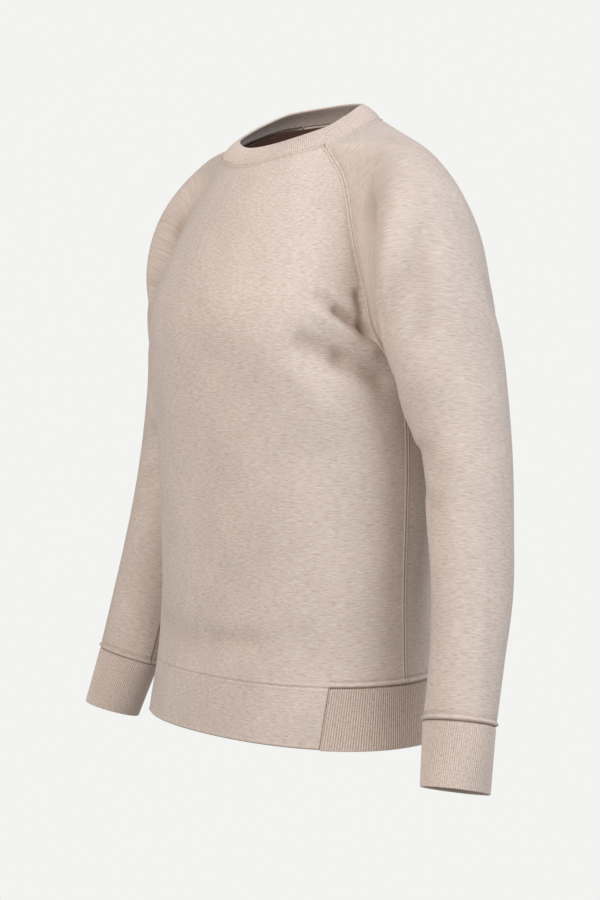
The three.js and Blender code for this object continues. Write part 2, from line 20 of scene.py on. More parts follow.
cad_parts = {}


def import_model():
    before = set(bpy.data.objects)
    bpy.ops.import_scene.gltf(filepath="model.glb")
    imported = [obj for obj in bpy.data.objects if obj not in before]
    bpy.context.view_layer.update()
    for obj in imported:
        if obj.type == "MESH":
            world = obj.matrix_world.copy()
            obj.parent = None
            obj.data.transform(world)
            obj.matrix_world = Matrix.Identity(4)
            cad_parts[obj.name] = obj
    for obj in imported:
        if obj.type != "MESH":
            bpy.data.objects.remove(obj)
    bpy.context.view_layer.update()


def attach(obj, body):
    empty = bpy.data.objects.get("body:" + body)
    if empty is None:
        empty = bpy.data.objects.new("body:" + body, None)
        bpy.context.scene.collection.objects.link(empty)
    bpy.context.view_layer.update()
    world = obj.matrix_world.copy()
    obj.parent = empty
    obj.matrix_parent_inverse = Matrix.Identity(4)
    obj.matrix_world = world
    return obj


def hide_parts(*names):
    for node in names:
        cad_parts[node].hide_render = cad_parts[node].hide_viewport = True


LOG = logging.getLogger("sweatshirt")
MM = 0.001
ACROSS = "across"
ALONG = "along"
# Vertex attribute of painted lightness: 1 where no shade is painted, lower where shade is painted into
# creases, seams and rib grooves.
PAINTED_LIGHTNESS = "painted_lightness"
CLOTH_UV = "cloth"
# Painted shade in crease troughs: colour darkened by up to CREASE_SHADE, fully at CREASE_DEPTH millimetres
# deep.
CREASE_SHADE = 0.5
CREASE_DEPTH = 9.0
FADE_REACH = 7.0
SEAM_CLOSE = 0.35


class Side(Enum):
    """Which of the wearer's arms a piece belongs to."""

    LEFT = 1
    RIGHT = -1


class SeamRoll(Enum):
    """How the cloth rises and falls beside a seam."""

    FLAT_FELLED = "flat felled"
    OVER_RIB = "over rib"
    UNDER_CLOTH = "under cloth"
    PLAIN = "plain"
    TURNED_HEM = "turned hem"
    UNDER_COLLAR = "under collar"
    COLLAR_EDGE = "collar edge"
    FLAP_EDGE = "flap edge"
    PRESSED_LINE = "pressed line"


@dataclass(frozen=True)
class Bump:
    """One rounded ridge or trough that runs beside a seam, in millimetres."""

    distance: float
    rise: float
    half: float


@dataclass(frozen=True)
class SeamProfile:
    """Ridges and grooves beside a seam, and the shade painted into the grooves along its stitch lines and
    under its overlapping edges.
    """

    bumps: tuple[Bump, ...]
    shades: tuple[Bump, ...]


# The shades are painted shade: seam grooves and the strips under overlapping edges darkened in colour.
SEAM_PROFILES: dict[SeamRoll, SeamProfile] = {
    SeamRoll.FLAT_FELLED: SeamProfile(
        bumps=(Bump(1.5, 0.95, 1.15), Bump(4.6, -0.5, 1.3)),
        shades=(Bump(0.0, 0.6, 0.45), Bump(3.7, 0.3, 0.55)),
    ),
    SeamRoll.OVER_RIB: SeamProfile(
        bumps=(Bump(0.0, -1.6, 0.7), Bump(2.6, 1.9, 1.9), Bump(6.2, -0.6, 0.9)),
        shades=(Bump(0.0, 0.6, 0.6), Bump(6.0, 0.3, 0.6), Bump(7.6, 0.22, 0.5)),
    ),
    SeamRoll.UNDER_CLOTH: SeamProfile(bumps=(Bump(0.0, -1.5, 1.3),), shades=(Bump(0.0, 0.9, 1.0),)),
    SeamRoll.COLLAR_EDGE: SeamProfile(bumps=(Bump(0.0, -0.6, 1.2),), shades=(Bump(0.0, 0.4, 0.7),)),
    SeamRoll.FLAP_EDGE: SeamProfile(
        bumps=(Bump(0.0, -1.0, 0.7), Bump(2.2, 0.6, 1.4)),
        shades=(Bump(0.0, 1.0, 1.0),),
    ),
    SeamRoll.PLAIN: SeamProfile(
        bumps=(Bump(0.0, -0.5, 0.6), Bump(1.9, 0.7, 1.0)),
        shades=(Bump(0.0, 0.85, 0.6), Bump(3.4, 0.15, 0.5)),
    ),
    SeamRoll.TURNED_HEM: SeamProfile(
        bumps=(Bump(0.0, -1.0, 0.7), Bump(2.2, 0.45, 1.4)),
        shades=(Bump(0.0, 0.75, 0.6),),
    ),
    SeamRoll.UNDER_COLLAR: SeamProfile(
        bumps=(Bump(0.0, -0.3, 0.6), Bump(1.7, 1.25, 0.95), Bump(4.4, -0.4, 1.2)),
        shades=(Bump(0.0, 0.3, 0.5), Bump(3.6, 0.2, 0.5)),
    ),
    SeamRoll.PRESSED_LINE: SeamProfile(
        bumps=(Bump(0.0, -0.55, 1.0), Bump(2.4, 0.3, 1.4)),
        shades=(Bump(0.0, 0.25, 0.8),),
    ),
}


@dataclass(frozen=True)
class Fold:
    """A soft ridge or trough along a line; rise is negative in a trough, half is its half width."""

    across: float
    along: float
    to_across: float
    to_along: float
    rise: float
    half: float


@dataclass(frozen=True)
class FoldTable:
    """Folds on one surface.

    Places are given in the surface's own two counts, and the lengths turn them into millimetres.
    """

    period: float
    across_length: float
    along_length: float
    folds: tuple[Fold, ...]

    def rise(self, across: np.ndarray, along: np.ndarray) -> np.ndarray:
        """Height of all the folds together.

        Args:
            across: Places round the surface.
            along: Places along it, of a matching shape.

        Returns:
            The heights in millimetres.
        """
        across, along = np.broadcast_arrays(across, along)
        total = np.zeros(across.shape)
        for fold in self.folds:
            turned = np.mod(across - fold.across + self.period / 2, self.period) - self.period / 2
            x = turned * self.across_length
            y = (along - fold.along) * self.along_length
            line_x = (fold.to_across - fold.across) * self.across_length
            line_y = (fold.to_along - fold.along) * self.along_length
            part = np.clip((x * line_x + y * line_y) / (line_x**2 + line_y**2), 0, 1)
            gap = np.hypot(x - part * line_x, y - part * line_y)
            total += fold.rise * np.exp(-((gap / fold.half) ** 2))
        return total


def smooth_rows(table: np.ndarray, at: np.ndarray, flat_ends: bool = False) -> np.ndarray:
    """Smooth curve through the rows of a table whose first column is the key.

    Args:
        table: Rows of key and values.
        at: Keys to read the values at.
        flat_ends: Whether the curve levels out at the table's two ends.

    Returns:
        The values, in a last axis added to the shape of at.
    """
    at = np.asarray(at, float)
    keys, values = table[:, 0], table[:, 1:]
    row = np.clip(np.searchsorted(keys, at) - 1, 0, len(keys) - 2)
    slopes = np.zeros_like(values)
    slopes[1:-1] = (values[2:] - values[:-2]) / (keys[2:] - keys[:-2])[:, None]
    if not flat_ends:
        slopes[0] = (values[1] - values[0]) / (keys[1] - keys[0])
        slopes[-1] = (values[-1] - values[-2]) / (keys[-1] - keys[-2])
    span = (keys[row + 1] - keys[row])[..., None]
    t = ((at - keys[row]) / span[..., 0])[..., None]
    return (
        (2 * t**3 - 3 * t**2 + 1) * values[row]
        + (t**3 - 2 * t**2 + t) * span * slopes[row]
        + (3 * t**2 - 2 * t**3) * values[row + 1]
        + (t**3 - t**2) * span * slopes[row + 1]
    )


def unit(vectors: np.ndarray) -> np.ndarray:
    """Vectors in the last axis, each made one long."""
    return vectors / np.maximum(np.linalg.norm(vectors, axis=-1, keepdims=True), 1e-9)


def grid_normals(points: np.ndarray, around: bool) -> np.ndarray:
    """Unit normals of a grid of points, on the side that columns turned to rows point to.

    Args:
        points: Grid of columns by rows by three.
        around: Whether the last column lies on the first.

    Returns:
        Normals of the same shape.
    """
    if around:
        closed = np.concatenate([points[-2:-1], points, points[1:2]])
        by_column = (closed[2:] - closed[:-2]) / 2
    else:
        by_column = np.gradient(points, axis=0)
    return unit(np.cross(by_column, np.gradient(points, axis=1)))


def distance_in(points: np.ndarray, axis: int, from_end: bool) -> np.ndarray:
    """Length over the cloth from one edge of a grid to each of its points.

    Args:
        points: Grid of columns by rows by three.
        axis: 0 to measure along the columns' count, 1 along the rows'.
        from_end: Whether to measure from the last line instead of the first.

    Returns:
        Lengths, of columns by rows.
    """
    steps = np.linalg.norm(np.diff(points, axis=axis), axis=-1)
    total = np.insert(np.cumsum(steps, axis=axis), 0, 0.0, axis=axis)
    if from_end:
        last = np.take(total, [-1], axis=axis)
        return last - total
    return total


def flat_across(points: np.ndarray, along: np.ndarray) -> np.ndarray:
    """Widths on the flat cut, so that knitted rows run straight across a shaped piece.

    Args:
        points: Grid of columns by rows by three.
        along: Lengths on the flat cut, of columns by rows.

    Returns:
        Lengths from the middle column, of columns by rows.
    """
    steps = np.linalg.norm(np.diff(points, axis=0), axis=-1)
    climb = np.diff(along, axis=0)
    level = np.sqrt(np.maximum(steps**2 - climb**2, (0.25 * steps) ** 2))
    total = np.insert(np.cumsum(level, axis=0), 0, 0.0, axis=0)
    return total - total[len(points) // 2]


@dataclass
class SeamWork:
    """Rise of the cloth and the shade painted on it, gathered from its creases and from all the seams of
    one piece.
    """

    rise: np.ndarray
    shade: np.ndarray = field(init=False)

    def __post_init__(self) -> None:
        """Starts with painted shade in the creases, darker where they sink deeper."""
        # Painted shade: crease troughs darkened in colour in proportion to their depth.
        self.shade = CREASE_SHADE * np.clip(-self.rise / CREASE_DEPTH, 0, 1)

    def sew(self, roll: SeamRoll, distance: np.ndarray, where: np.ndarray | float = 1.0) -> None:
        """Adds one seam's rise and the shade painted beside it.

        Args:
            roll: The kind of seam.
            distance: How far each point lies from it, in millimetres.
            where: 1 where the seam is, 0 where it isn't.
        """
        profile = SEAM_PROFILES[roll]
        self.rise = self.rise + where * bell_sum(profile.bumps, distance)
        # Painted shade beside the seam, in its grooves and under overlapping edges.
        self.shade = np.maximum(self.shade, where * np.clip(bell_sum(profile.shades, distance), 0, 1))


def bell_sum(bumps: Sequence[Bump], distance: np.ndarray) -> np.ndarray:
    """Sum of rounded bumps at distances from a seam."""
    return sum(bump.rise * np.exp(-(((distance - bump.distance) / bump.half) ** 2)) for bump in bumps)


def faded(rise: np.ndarray, distance: np.ndarray) -> np.ndarray:
    """Heights that sink to nothing towards a sewn edge, so that neighbours stay joined."""
    part = np.clip(distance / FADE_REACH, 0, 1)
    return rise * part**2 * (3 - 2 * part)


EDGE_STEPS = (0.55, 1.1, 1.7, 2.4, 3.2, 4.1, 5.1, 6.2, 7.4, 8.8)


def graded(length: float, step: float, fine_start: bool = True, fine_end: bool = True) -> np.ndarray:
    """Shares from 0 to 1 along a length, closer together beside seams.

    Args:
        length: Length in millimetres.
        step: Even spacing away from the seams.
        fine_start: Whether a seam lies at the start.
        fine_end: Whether a seam lies at the end.

    Returns:
        Rising shares with both ends included.
    """
    low = [0.0, *EDGE_STEPS] if fine_start else [0.0]
    high = [length - value for value in reversed([0.0, *EDGE_STEPS])] if fine_end else [length]
    count = max(2, round((high[0] - low[-1]) / step) + 1)
    middle = np.linspace(low[-1], high[0], count)[1:-1]
    return np.concatenate([low, middle, high]) / length


BODY_FOLDS = FoldTable(
    period=360,
    across_length=2.8,
    along_length=1,
    folds=(
        Fold(58, -241, 83, -270, -5.5, 22),
        Fold(62, -194, 77, -222, -3, 20),
        Fold(40, -250, 57, -312, 2.5, 26),
        Fold(-60, -243, -83, -272, -5, 22),
        Fold(-43, -262, -60, -318, 2.5, 26),
        Fold(-8, -566, 50, -546, -2.5, 22),
        Fold(122, -236, 99, -272, -4, 24),
        Fold(-120, -240, -98, -275, -4, 24),
        Fold(146, -548, 212, -560, -3, 24),
    ),
)

BODY_CREASES = FoldTable(
    period=360,
    across_length=2.8,
    along_length=1,
    folds=(
        Fold(60, -189, 70, -209, -3.5, 7),
        Fold(66, -202, 81, -229, -6.5, 5),
        Fold(63, -181, 77, -205, 2.6, 8),
        Fold(59, -203, 78, -242, 4, 9),
        Fold(75.5, -186, 77, -222, -6.5, 6),
        Fold(52, -234, 65, -252, -4, 11),
        Fold(65, -252, 80, -272, -4.5, 10),
        Fold(47, -262, 58, -300, 2, 13),
        Fold(-62, -196, -77, -224, -6, 7),
        Fold(-58, -206, -74, -234, 3, 9),
        Fold(-78.5, -196, -81, -236, -3.5, 7),
        Fold(-60, -244, -82, -270, -3.5, 10),
        Fold(116, -190, 103, -226, -6, 8),
        Fold(118, -208, 104, -242, 3, 9),
        Fold(-115, -194, -103, -228, -6, 8),
        Fold(-118, -212, -104, -244, 3, 9),
        Fold(126, -246, 100, -268, -3.5, 11),
        Fold(-124, -248, -100, -270, -3.5, 11),
        Fold(160, -120, 195, -128, -2, 18),
        Fold(140, -300, 168, -322, -2.5, 20),
        Fold(-136, -310, -166, -330, -2.5, 20),
        Fold(150, -520, 176, -508, -3, 14),
        Fold(-150, -528, -176, -516, -2.6, 14),
        Fold(2, -552, 30, -548, -2.2, 11),
        Fold(-40, -540, -10, -556, -1.6, 14),
    ),
)

SLEEVE_FOLDS = FoldTable(
    period=1,
    across_length=300,
    along_length=600,
    folds=(
        Fold(0.365, 0.23, 0.295, 0.31, -3, 20),
        Fold(0.66, 0.26, 0.8, 0.34, -3.5, 22),
        Fold(0.1, 0.5, 0.24, 0.54, -2.5, 18),
    ),
)

SLEEVE_CREASES = FoldTable(
    period=1,
    across_length=300,
    along_length=600,
    folds=(
        Fold(0.352, 0.225, 0.3, 0.31, -2.6, 11),
        Fold(0.26, 0.06, 0.2, 0.11, -4.5, 8),
        Fold(0.16, 0.2, 0.28, 0.24, -2.6, 12),
        Fold(0.41, 0.62, 0.44, 0.98, 1.5, 10),
        Fold(0.08, 0.46, 0.22, 0.49, -2.6, 11),
        Fold(0.1, 0.55, 0.24, 0.6, -2.0, 12),
        Fold(0.9, 0.44, 0.76, 0.47, -2.6, 11),
        Fold(0.9, 0.53, 0.78, 0.57, -2.0, 12),
        Fold(0.62, 0.3, 0.74, 0.36, -2.6, 12),
        Fold(0.74, 0.06, 0.82, 0.12, -3.5, 9),
    ),
)


@dataclass(frozen=True)
class GarmentForm:
    """The worn shape that every piece is cut from."""

    squareness: float = 2.2
    hem_z: float = -655
    rib_top_z: float = -592
    underarm_z: float = -262
    side_angle: float = 90
    flap_angle_top: float = 62.3
    flap_angle_hem: float = 60.1
    raglan_bias: float = 1.3
    armhole_share: float = 10 / 26
    ring_arc_start: float = 0.44
    ring_share_power: float = 0.78
    even_ring: float = 6
    underarm_lead: float = 0.045
    collar_bulge: float = 1.6
    body_sections: tuple = (
        (-655, 194, 122, 120, -13.5),
        (-592, 180, 125, 119.5, -7.5),
        (-530, 172.5, 129.5, 119, -2.5),
        (-485, 170, 133, 118.5, 0),
        (-375, 170, 143, 117, 3.5),
        (-308, 169, 148, 115, 2.5),
        (-262, 166.5, 149.5, 114.5, -1.5),
        (-215, 160.5, 149, 114.5, -7),
        (-170, 150, 138, 114.5, -8),
        (-116, 131, 116.5, 108, -4.5),
        (-62, 108.5, 91.5, 98, 0.5),
        (-40, 99, 81, 91, 3),
        (-21, 91.5, 73, 86.5, 5),
        (0, 84.5, 64, 82, 6.5),
        (20, 77, 54, 78, 8.5),
    )
    neck: tuple = (
        (0, -46, 16, 19),
        (30, -39, 18.5, 17),
        (65, -25.5, 18.5, 17),
        (90, -9, 19.5, 15.5),
        (120, 5, 19.5, 15.5),
        (180, 11, 18.5, 16.5),
    )
    front_raglan: tuple = (
        (0, 90, -262),
        (0.08, 85, -248),
        (0.189, 80.5, -224),
        (0.321, 79, -190),
        (0.575, 76.2, -126),
        (0.826, 74.5, -65),
        (0.922, 69.5, -43),
        (1, 63.5, -26.2),
    )
    back_raglan: tuple = (
        (0, 90, -262),
        (0.084, 98, -248),
        (0.189, 105.5, -222),
        (0.34, 112, -180),
        (0.519, 118, -130),
        (0.733, 124, -70),
        (1, 130, 7),
    )
    arm_rings: tuple = (
        (179, -270, 169, -29, 18, 61),
        (183.5, -281, 207, -67, 11, 73),
        (183, -297, 232, -125, 16.5, 69),
        (182, -322, 250, -194, 22, 65),
        (187, -342, 268.5, -268, 23.5, 56),
        (198, -371, 284, -343, 21, 49.5),
        (210.5, -422, 294.5, -415, 14.5, 46.5),
        (227, -493, 305.5, -483, 4, 43.5),
        (237.5, -566, 313.5, -547, -12.5, 38.5),
        (241, -622, 323, -611, -29, 33),
    )
    cuff_end: tuple = (294, -46, -679)
    cuff_half_sizes: tuple = (36, 32.5)
    cuff_turn: float = 62

    def neck_at(self, angle: np.ndarray) -> np.ndarray:
        """Neck seam height and the collar's lean in and stand up, at angles from the front."""
        turned = np.abs(np.mod(np.asarray(angle, float) + 180, 360) - 180)
        return smooth_rows(np.array(self.neck, float), turned, flat_ends=True)

    def raglan(self, far: bool) -> np.ndarray:
        """Rows of share, angle and height of a raglan seam, front or back, ending on the neck.

        Args:
            far: Whether it is the back one.

        Returns:
            The rows, from the underarm up.
        """
        rows = np.array(self.back_raglan if far else self.front_raglan, float)
        rows[-1, 2] = self.neck_at(rows[-1, 1])[0]
        return rows

    def body_point(self, angle: np.ndarray, z: np.ndarray) -> np.ndarray:
        """Points of the body at angles from the middle of the front and at heights.

        Args:
            angle: Angles in degrees, towards the wearer's left.
            z: Heights, of a matching shape.

        Returns:
            Points, in a last axis of three.
        """
        angle, z = np.broadcast_arrays(np.asarray(angle, float), np.asarray(z, float))
        section = smooth_rows(np.array(self.body_sections, float), z)
        width, front, back, middle = np.moveaxis(section, -1, 0)
        sine, cosine = np.sin(np.radians(angle)), np.cos(np.radians(angle))
        depth = np.where(cosine > 0, front, back)
        total = np.abs(sine / width) ** self.squareness + np.abs(cosine / depth) ** self.squareness
        reach = total ** (-1 / self.squareness) + BODY_FOLDS.rise(angle, z)
        return np.stack([reach * sine, middle - reach * cosine, z], -1)

    def raglan_place(self, share: np.ndarray, up: np.ndarray, far: bool) -> tuple[np.ndarray, np.ndarray]:
        """Angle and height on a front or back panel between its raglan seams.

        Args:
            share: Places from one raglan seam, at -1, to the other, at 1.
            up: Shares of the way up the seam.
            far: Whether it is the back panel.

        Returns:
            The angles and the heights.
        """
        rows = self.raglan(far)
        seam = smooth_rows(rows, up)
        neck_angle = rows[-1, 1]
        half = 180 - seam[..., 0] if far else seam[..., 0]
        neck_half = 180 - neck_angle if far else neck_angle
        turned = 180 + neck_half * share if far else neck_half * share
        dip = self.neck_at(turned)[..., 0] - rows[-1, 2]
        angle = half * share + (180 if far else 0)
        return angle, seam[..., 1] + dip * up**2

    def armhole(self, side: Side, share: np.ndarray) -> np.ndarray:
        """Points of one armhole: up the front raglan, back along the neck, down the back one.

        Args:
            side: Which arm.
            share: Shares round the armhole from the underarm.

        Returns:
            The points.
        """
        near = np.minimum(share, 1 - share)
        climb = np.clip(near / self.armhole_share, 0, 1) ** self.raglan_bias
        front, back = smooth_rows(self.raglan(False), climb), smooth_rows(self.raglan(True), climb)
        past = np.clip((share - self.armhole_share) / (1 - 2 * self.armhole_share), 0, 1)
        neck_angle = self.raglan(False)[-1, 1] * (1 - past) + self.raglan(True)[-1, 1] * past
        seam = np.where((share < 0.5)[:, None], front, back)
        on_neck = near >= self.armhole_share
        angle = np.where(on_neck, neck_angle, seam[:, 0])
        z = np.where(on_neck, self.neck_at(neck_angle)[:, 0], seam[:, 1])
        return self.body_point(side.value * angle, z)

    def ring_frames(self) -> tuple[np.ndarray, np.ndarray, np.ndarray]:
        """Middles of the arm rings, and their half axes away from the body and forward.

        Returns:
            The middles, the half axes and the unit vectors forward.
        """
        rings = np.array(self.arm_rings, float)
        inner, outer = rings[:, 0:2], rings[:, 2:4]
        middle = np.insert((inner + outer) / 2, 1, rings[:, 4], axis=1)
        index = np.arange(len(rings))
        along = unit(middle[np.minimum(index + 1, len(rings) - 1)] - middle[np.maximum(index - 1, 0)])
        away = np.insert((outer - inner) / 2, 1, 0.0, axis=1)
        ahead = np.array([0.0, -1.0, 0.0])
        forward = unit(ahead - along * (along @ ahead)[:, None])
        return middle, away, forward

    def ring_turn(self, share: np.ndarray) -> np.ndarray:
        """Turn round each arm ring, as shares, of lines that leave the armhole squarely.

        Args:
            share: Shares round the armhole from the underarm.

        Returns:
            Shares of a turn, of lines by rings.
        """
        ring = np.arange(len(self.arm_rings))
        near_seam = 1 - np.minimum(ring / self.even_ring, 1)
        low = np.minimum(share, 1 - share)
        past = (low - self.armhole_share) / (0.5 - self.armhole_share)
        climb = np.clip(low / self.armhole_share, 0, 1)
        leaving = np.where(
            past < 0,
            self.ring_arc_start * climb**self.ring_share_power,
            self.ring_arc_start + (0.5 - self.ring_arc_start) * past,
        )
        turn = leaving[:, None] * near_seam + low[:, None] * (1 - near_seam)
        lead = self.underarm_lead * near_seam * np.maximum(0, 1 - low / self.armhole_share)[:, None]
        return np.where((share < 0.5)[:, None], turn, 1 - turn) + lead

    def arm_knots(self) -> np.ndarray:
        """Distances of the arm rings along the arm, from the middle of the armhole.

        Returns:
            The distances, starting with 0.
        """
        middle = self.ring_frames()[0]
        start = self.armhole(Side.LEFT, np.arange(26) / 26).mean(0)
        steps = np.linalg.norm(np.diff(np.vstack([start, middle]), axis=0), axis=1)
        return np.concatenate([[0], np.cumsum(steps)])

    def plain_sleeve(self, side: Side, share: np.ndarray, down: np.ndarray) -> np.ndarray:
        """Grid of sleeve points, without folds, at shares round it and shares down it.

        Args:
            side: Which arm.
            share: Shares round it from the underarm.
            down: Shares down it.

        Returns:
            Points, of shares round by shares down by three.
        """
        middle, away, forward = self.ring_frames()
        depth = np.array(self.arm_rings, float)[:, 5]
        turn = 2 * np.pi * self.ring_turn(share)
        rings = middle - np.cos(turn)[..., None] * away + (np.sin(turn) * depth)[..., None] * forward
        rings = rings * np.array([side.value, 1, 1])
        lines = np.concatenate([self.armhole(side, share)[:, None], rings], 1)
        knots = self.arm_knots()
        table = np.column_stack([knots, np.moveaxis(lines, 0, 1).reshape(len(knots), -1)])
        place = smooth_rows(table, down * knots[-1])
        return np.moveaxis(place.reshape(len(down), len(share), 3), 0, 1)

    def sleeve(self, side: Side, share: np.ndarray, down: np.ndarray) -> np.ndarray:
        """Grid of sleeve points with the large folds.

        Args:
            side: Which arm.
            share: Shares round it from the underarm.
            down: Shares down it.

        Returns:
            Points, of shares round by shares down by three.
        """
        points = self.plain_sleeve(side, share, down)
        outward = unit(points - self.plain_sleeve(side, np.mod(share + 0.5, 1), down))
        return points + outward * SLEEVE_FOLDS.rise(share[:, None], down[None])[..., None]

    def cuff(self, side: Side, share: np.ndarray, down: np.ndarray) -> np.ndarray:
        """Grid of cuff points from its seam, at 0 down, to its free end, at 1.

        Args:
            side: Which arm.
            share: Shares round it from the underarm.
            down: Shares down it.

        Returns:
            Points, of shares round by shares down by three.
        """
        _, away, forward = self.ring_frames()
        turn = 2 * np.pi * share
        slant = math.radians(self.cuff_turn)
        round_way = np.stack([-np.cos(turn), -np.sin(turn)], -1)
        long_way = np.array([math.cos(slant), math.sin(slant)])
        short_way = np.array([-math.sin(slant), math.cos(slant)])
        long_half, short_half = self.cuff_half_sizes
        plan = (round_way @ long_way * long_half)[:, None] * long_way
        plan = plan + (round_way @ short_way * short_half)[:, None] * short_way
        end = np.array(self.cuff_end) + plan[:, :1] * unit(away[-1]) - plan[:, 1:] * forward[-1]
        end = end * np.array([side.value, 1, 1])
        start = self.sleeve(side, share, np.array([1.0]))[:, 0]
        return start[:, None] + (end - start)[:, None] * down[None, :, None]

    def collar(self, angle: np.ndarray, rise: np.ndarray) -> np.ndarray:
        """Grid of collar points from the neck seam, at 0 rise, to its top, at 1.

        Args:
            angle: Angles from the middle of the front, in degrees.
            rise: Shares up the band.

        Returns:
            Points, of angles by rises by three.
        """
        row = self.neck_at(angle)
        seam = self.body_point(angle, row[:, 0])
        inward, upward = row[:, 1:2], row[:, 2:3]
        outward = np.stack([np.sin(np.radians(angle)), -np.cos(np.radians(angle)), 0 * angle], -1)
        rise = rise[None]
        bulge = self.collar_bulge * 4 * rise * (1 - rise) / np.hypot(inward, upward)
        points = seam[:, None] + outward[:, None] * (-inward * rise + bulge * upward)[..., None]
        points[..., 2] += upward * rise + bulge * inward
        return points


FORM = GarmentForm()


@dataclass
class ClothSurface:
    """A grid of cloth points, in millimetres, that becomes one Blender piece."""

    points: np.ndarray
    across: np.ndarray
    along: np.ndarray
    around: bool = False
    # Painted lightness of each point, 1 where no shade is painted.
    painted_lightness: np.ndarray | None = None
    kept: Callable[[float, float], bool] | None = None
    closed_rows: bool = False

    def raised(self, rise: np.ndarray) -> ClothSurface:
        """The same surface moved out along its normals.

        Args:
            rise: Heights in millimetres, of columns by rows.

        Returns:
            This surface, changed.
        """
        self.points = self.points + grid_normals(self.points, self.around) * rise[..., None]
        return self

    def build(self, name: str) -> bpy.types.Object:
        """Makes the grid with bmesh, sets its points, and links it as a named object.

        Args:
            name: The piece's name.

        Returns:
            The new object, at the origin.
        """
        columns, rows = self.points.shape[:2]
        mesh = bpy.data.meshes.new(name)
        shape = bmesh.new()
        across_layer = shape.verts.layers.float.new(ACROSS)
        along_layer = shape.verts.layers.float.new(ALONG)
        painted_lightness_layer = shape.verts.layers.float.new(PAINTED_LIGHTNESS)
        bmesh.ops.create_grid(shape, x_segments=columns - 1, y_segments=rows - 1, size=1)
        painted_lightness = np.ones((columns, rows)) if self.painted_lightness is None else self.painted_lightness
        for vert in shape.verts:
            column = round((vert.co.x + 1) / 2 * (columns - 1))
            row = round((vert.co.y + 1) / 2 * (rows - 1))
            vert.co = Vector(self.points[column, row] * MM)
            vert[across_layer] = self.across[column, row] * MM
            vert[along_layer] = self.along[column, row] * MM
            vert[painted_lightness_layer] = painted_lightness[column, row]
        uv_layer = shape.loops.layers.uv.new(CLOTH_UV)
        for face in shape.faces:
            for corner in face.loops:
                corner[uv_layer].uv = (corner.vert[across_layer], corner.vert[along_layer])
        if self.kept is not None:
            lost = [
                face
                for face in shape.faces
                if not self.kept(
                    sum(vert[across_layer] for vert in face.verts) / len(face.verts),
                    sum(vert[along_layer] for vert in face.verts) / len(face.verts),
                )
            ]
            bmesh.ops.delete(shape, geom=lost, context="FACES")
        if self.around or self.closed_rows:
            bmesh.ops.remove_doubles(shape, verts=shape.verts, dist=0.00001)
        if self.closed_rows and not self.around:
            rim = [edge for edge in shape.edges if edge.is_boundary]
            bmesh.ops.holes_fill(shape, edges=rim, sides=0)
        for face in shape.faces:
            face.smooth = True
        shape.to_mesh(mesh)
        shape.free()
        piece = bpy.data.objects.new(name, mesh)
        bpy.context.scene.collection.objects.link(piece)
        return piece


def thicken(piece: bpy.types.Object, wall: float) -> None:
    """Gives a piece its cloth thickness, inwards.

    Args:
        piece: The piece, with its faces pointing out.
        wall: Thickness in millimetres.
    """
    solid = piece.modifiers.new("wall", "SOLIDIFY")
    solid.thickness = wall * MM
    solid.offset = -1
    solid.use_rim = True


class NodeSheet:
    """A node tree that is laid out by calls."""

    def __init__(self, tree: bpy.types.NodeTree) -> None:
        """Keeps the tree."""
        self.tree = tree

    def add(self, kind: str, inputs: dict | None = None, **settings: object) -> bpy.types.Node:
        """Adds a node.

        Args:
            kind: Blender's name for the node's type.
            inputs: Socket name or number to a value, or to an output socket to link from.
            settings: Properties of the node itself.

        Returns:
            The new node.
        """
        node = self.tree.nodes.new(kind)
        for key, value in settings.items():
            setattr(node, key, value)
        for key, value in (inputs or {}).items():
            if isinstance(value, bpy.types.NodeSocket):
                self.tree.links.new(value, node.inputs[key])
            else:
                node.inputs[key].default_value = value
        return node

    def link(self, start: bpy.types.NodeSocket, end: bpy.types.NodeSocket) -> None:
        """Links two sockets."""
        self.tree.links.new(start, end)

    def noise(
        self,
        place: bpy.types.NodeSocket,
        scale: float,
        detail: float,
        roughness: float = 0.5,
    ) -> bpy.types.Node:
        """Adds a noise pattern."""
        values = {"Vector": place, "Scale": scale, "Detail": detail, "Roughness": roughness}
        return self.add("ShaderNodeTexNoise", values)

    def ramp(
        self,
        value: bpy.types.NodeSocket,
        low: float,
        high: float,
        to_low: float,
        to_high: float,
    ) -> bpy.types.Node:
        """Adds a node that carries one span of values to another."""
        spans = {"From Min": low, "From Max": high, "To Min": to_low, "To Max": to_high}
        return self.add("ShaderNodeMapRange", {"Value": value, **spans})

    def surface(self, shader: bpy.types.Node) -> None:
        """Makes a shader the material's surface."""
        out = self.add("ShaderNodeOutputMaterial")
        self.link(shader.outputs[0], out.inputs["Surface"])


def blank_material(name: str) -> tuple[bpy.types.Material, NodeSheet]:
    """Starts a material.

    Args:
        name: The material's name.

    Returns:
        The material without nodes, and the sheet to lay them out on.
    """
    material = bpy.data.materials.new(name)
    material.use_nodes = True
    material.node_tree.nodes.clear()
    return material, NodeSheet(material.node_tree)


def make_group(
    name: str,
    inputs: Sequence[tuple],
    outputs: Sequence[tuple],
) -> tuple[NodeSheet, bpy.types.Node, bpy.types.Node]:
    """Starts a shader node group.

    Args:
        name: The group's name.
        inputs: Each input's name, socket type and default value.
        outputs: Each output's name and socket type.

    Returns:
        The sheet, its input node and its output node.
    """
    tree = bpy.data.node_groups.new(name, "ShaderNodeTree")
    for label, kind, value in inputs:
        socket = tree.interface.new_socket(name=label, in_out="INPUT", socket_type=kind)
        if value is not None:
            socket.default_value = value
    for label, kind in outputs:
        tree.interface.new_socket(name=label, in_out="OUTPUT", socket_type=kind)
    sheet = NodeSheet(tree)
    return sheet, sheet.add("NodeGroupInput"), sheet.add("NodeGroupOutput")


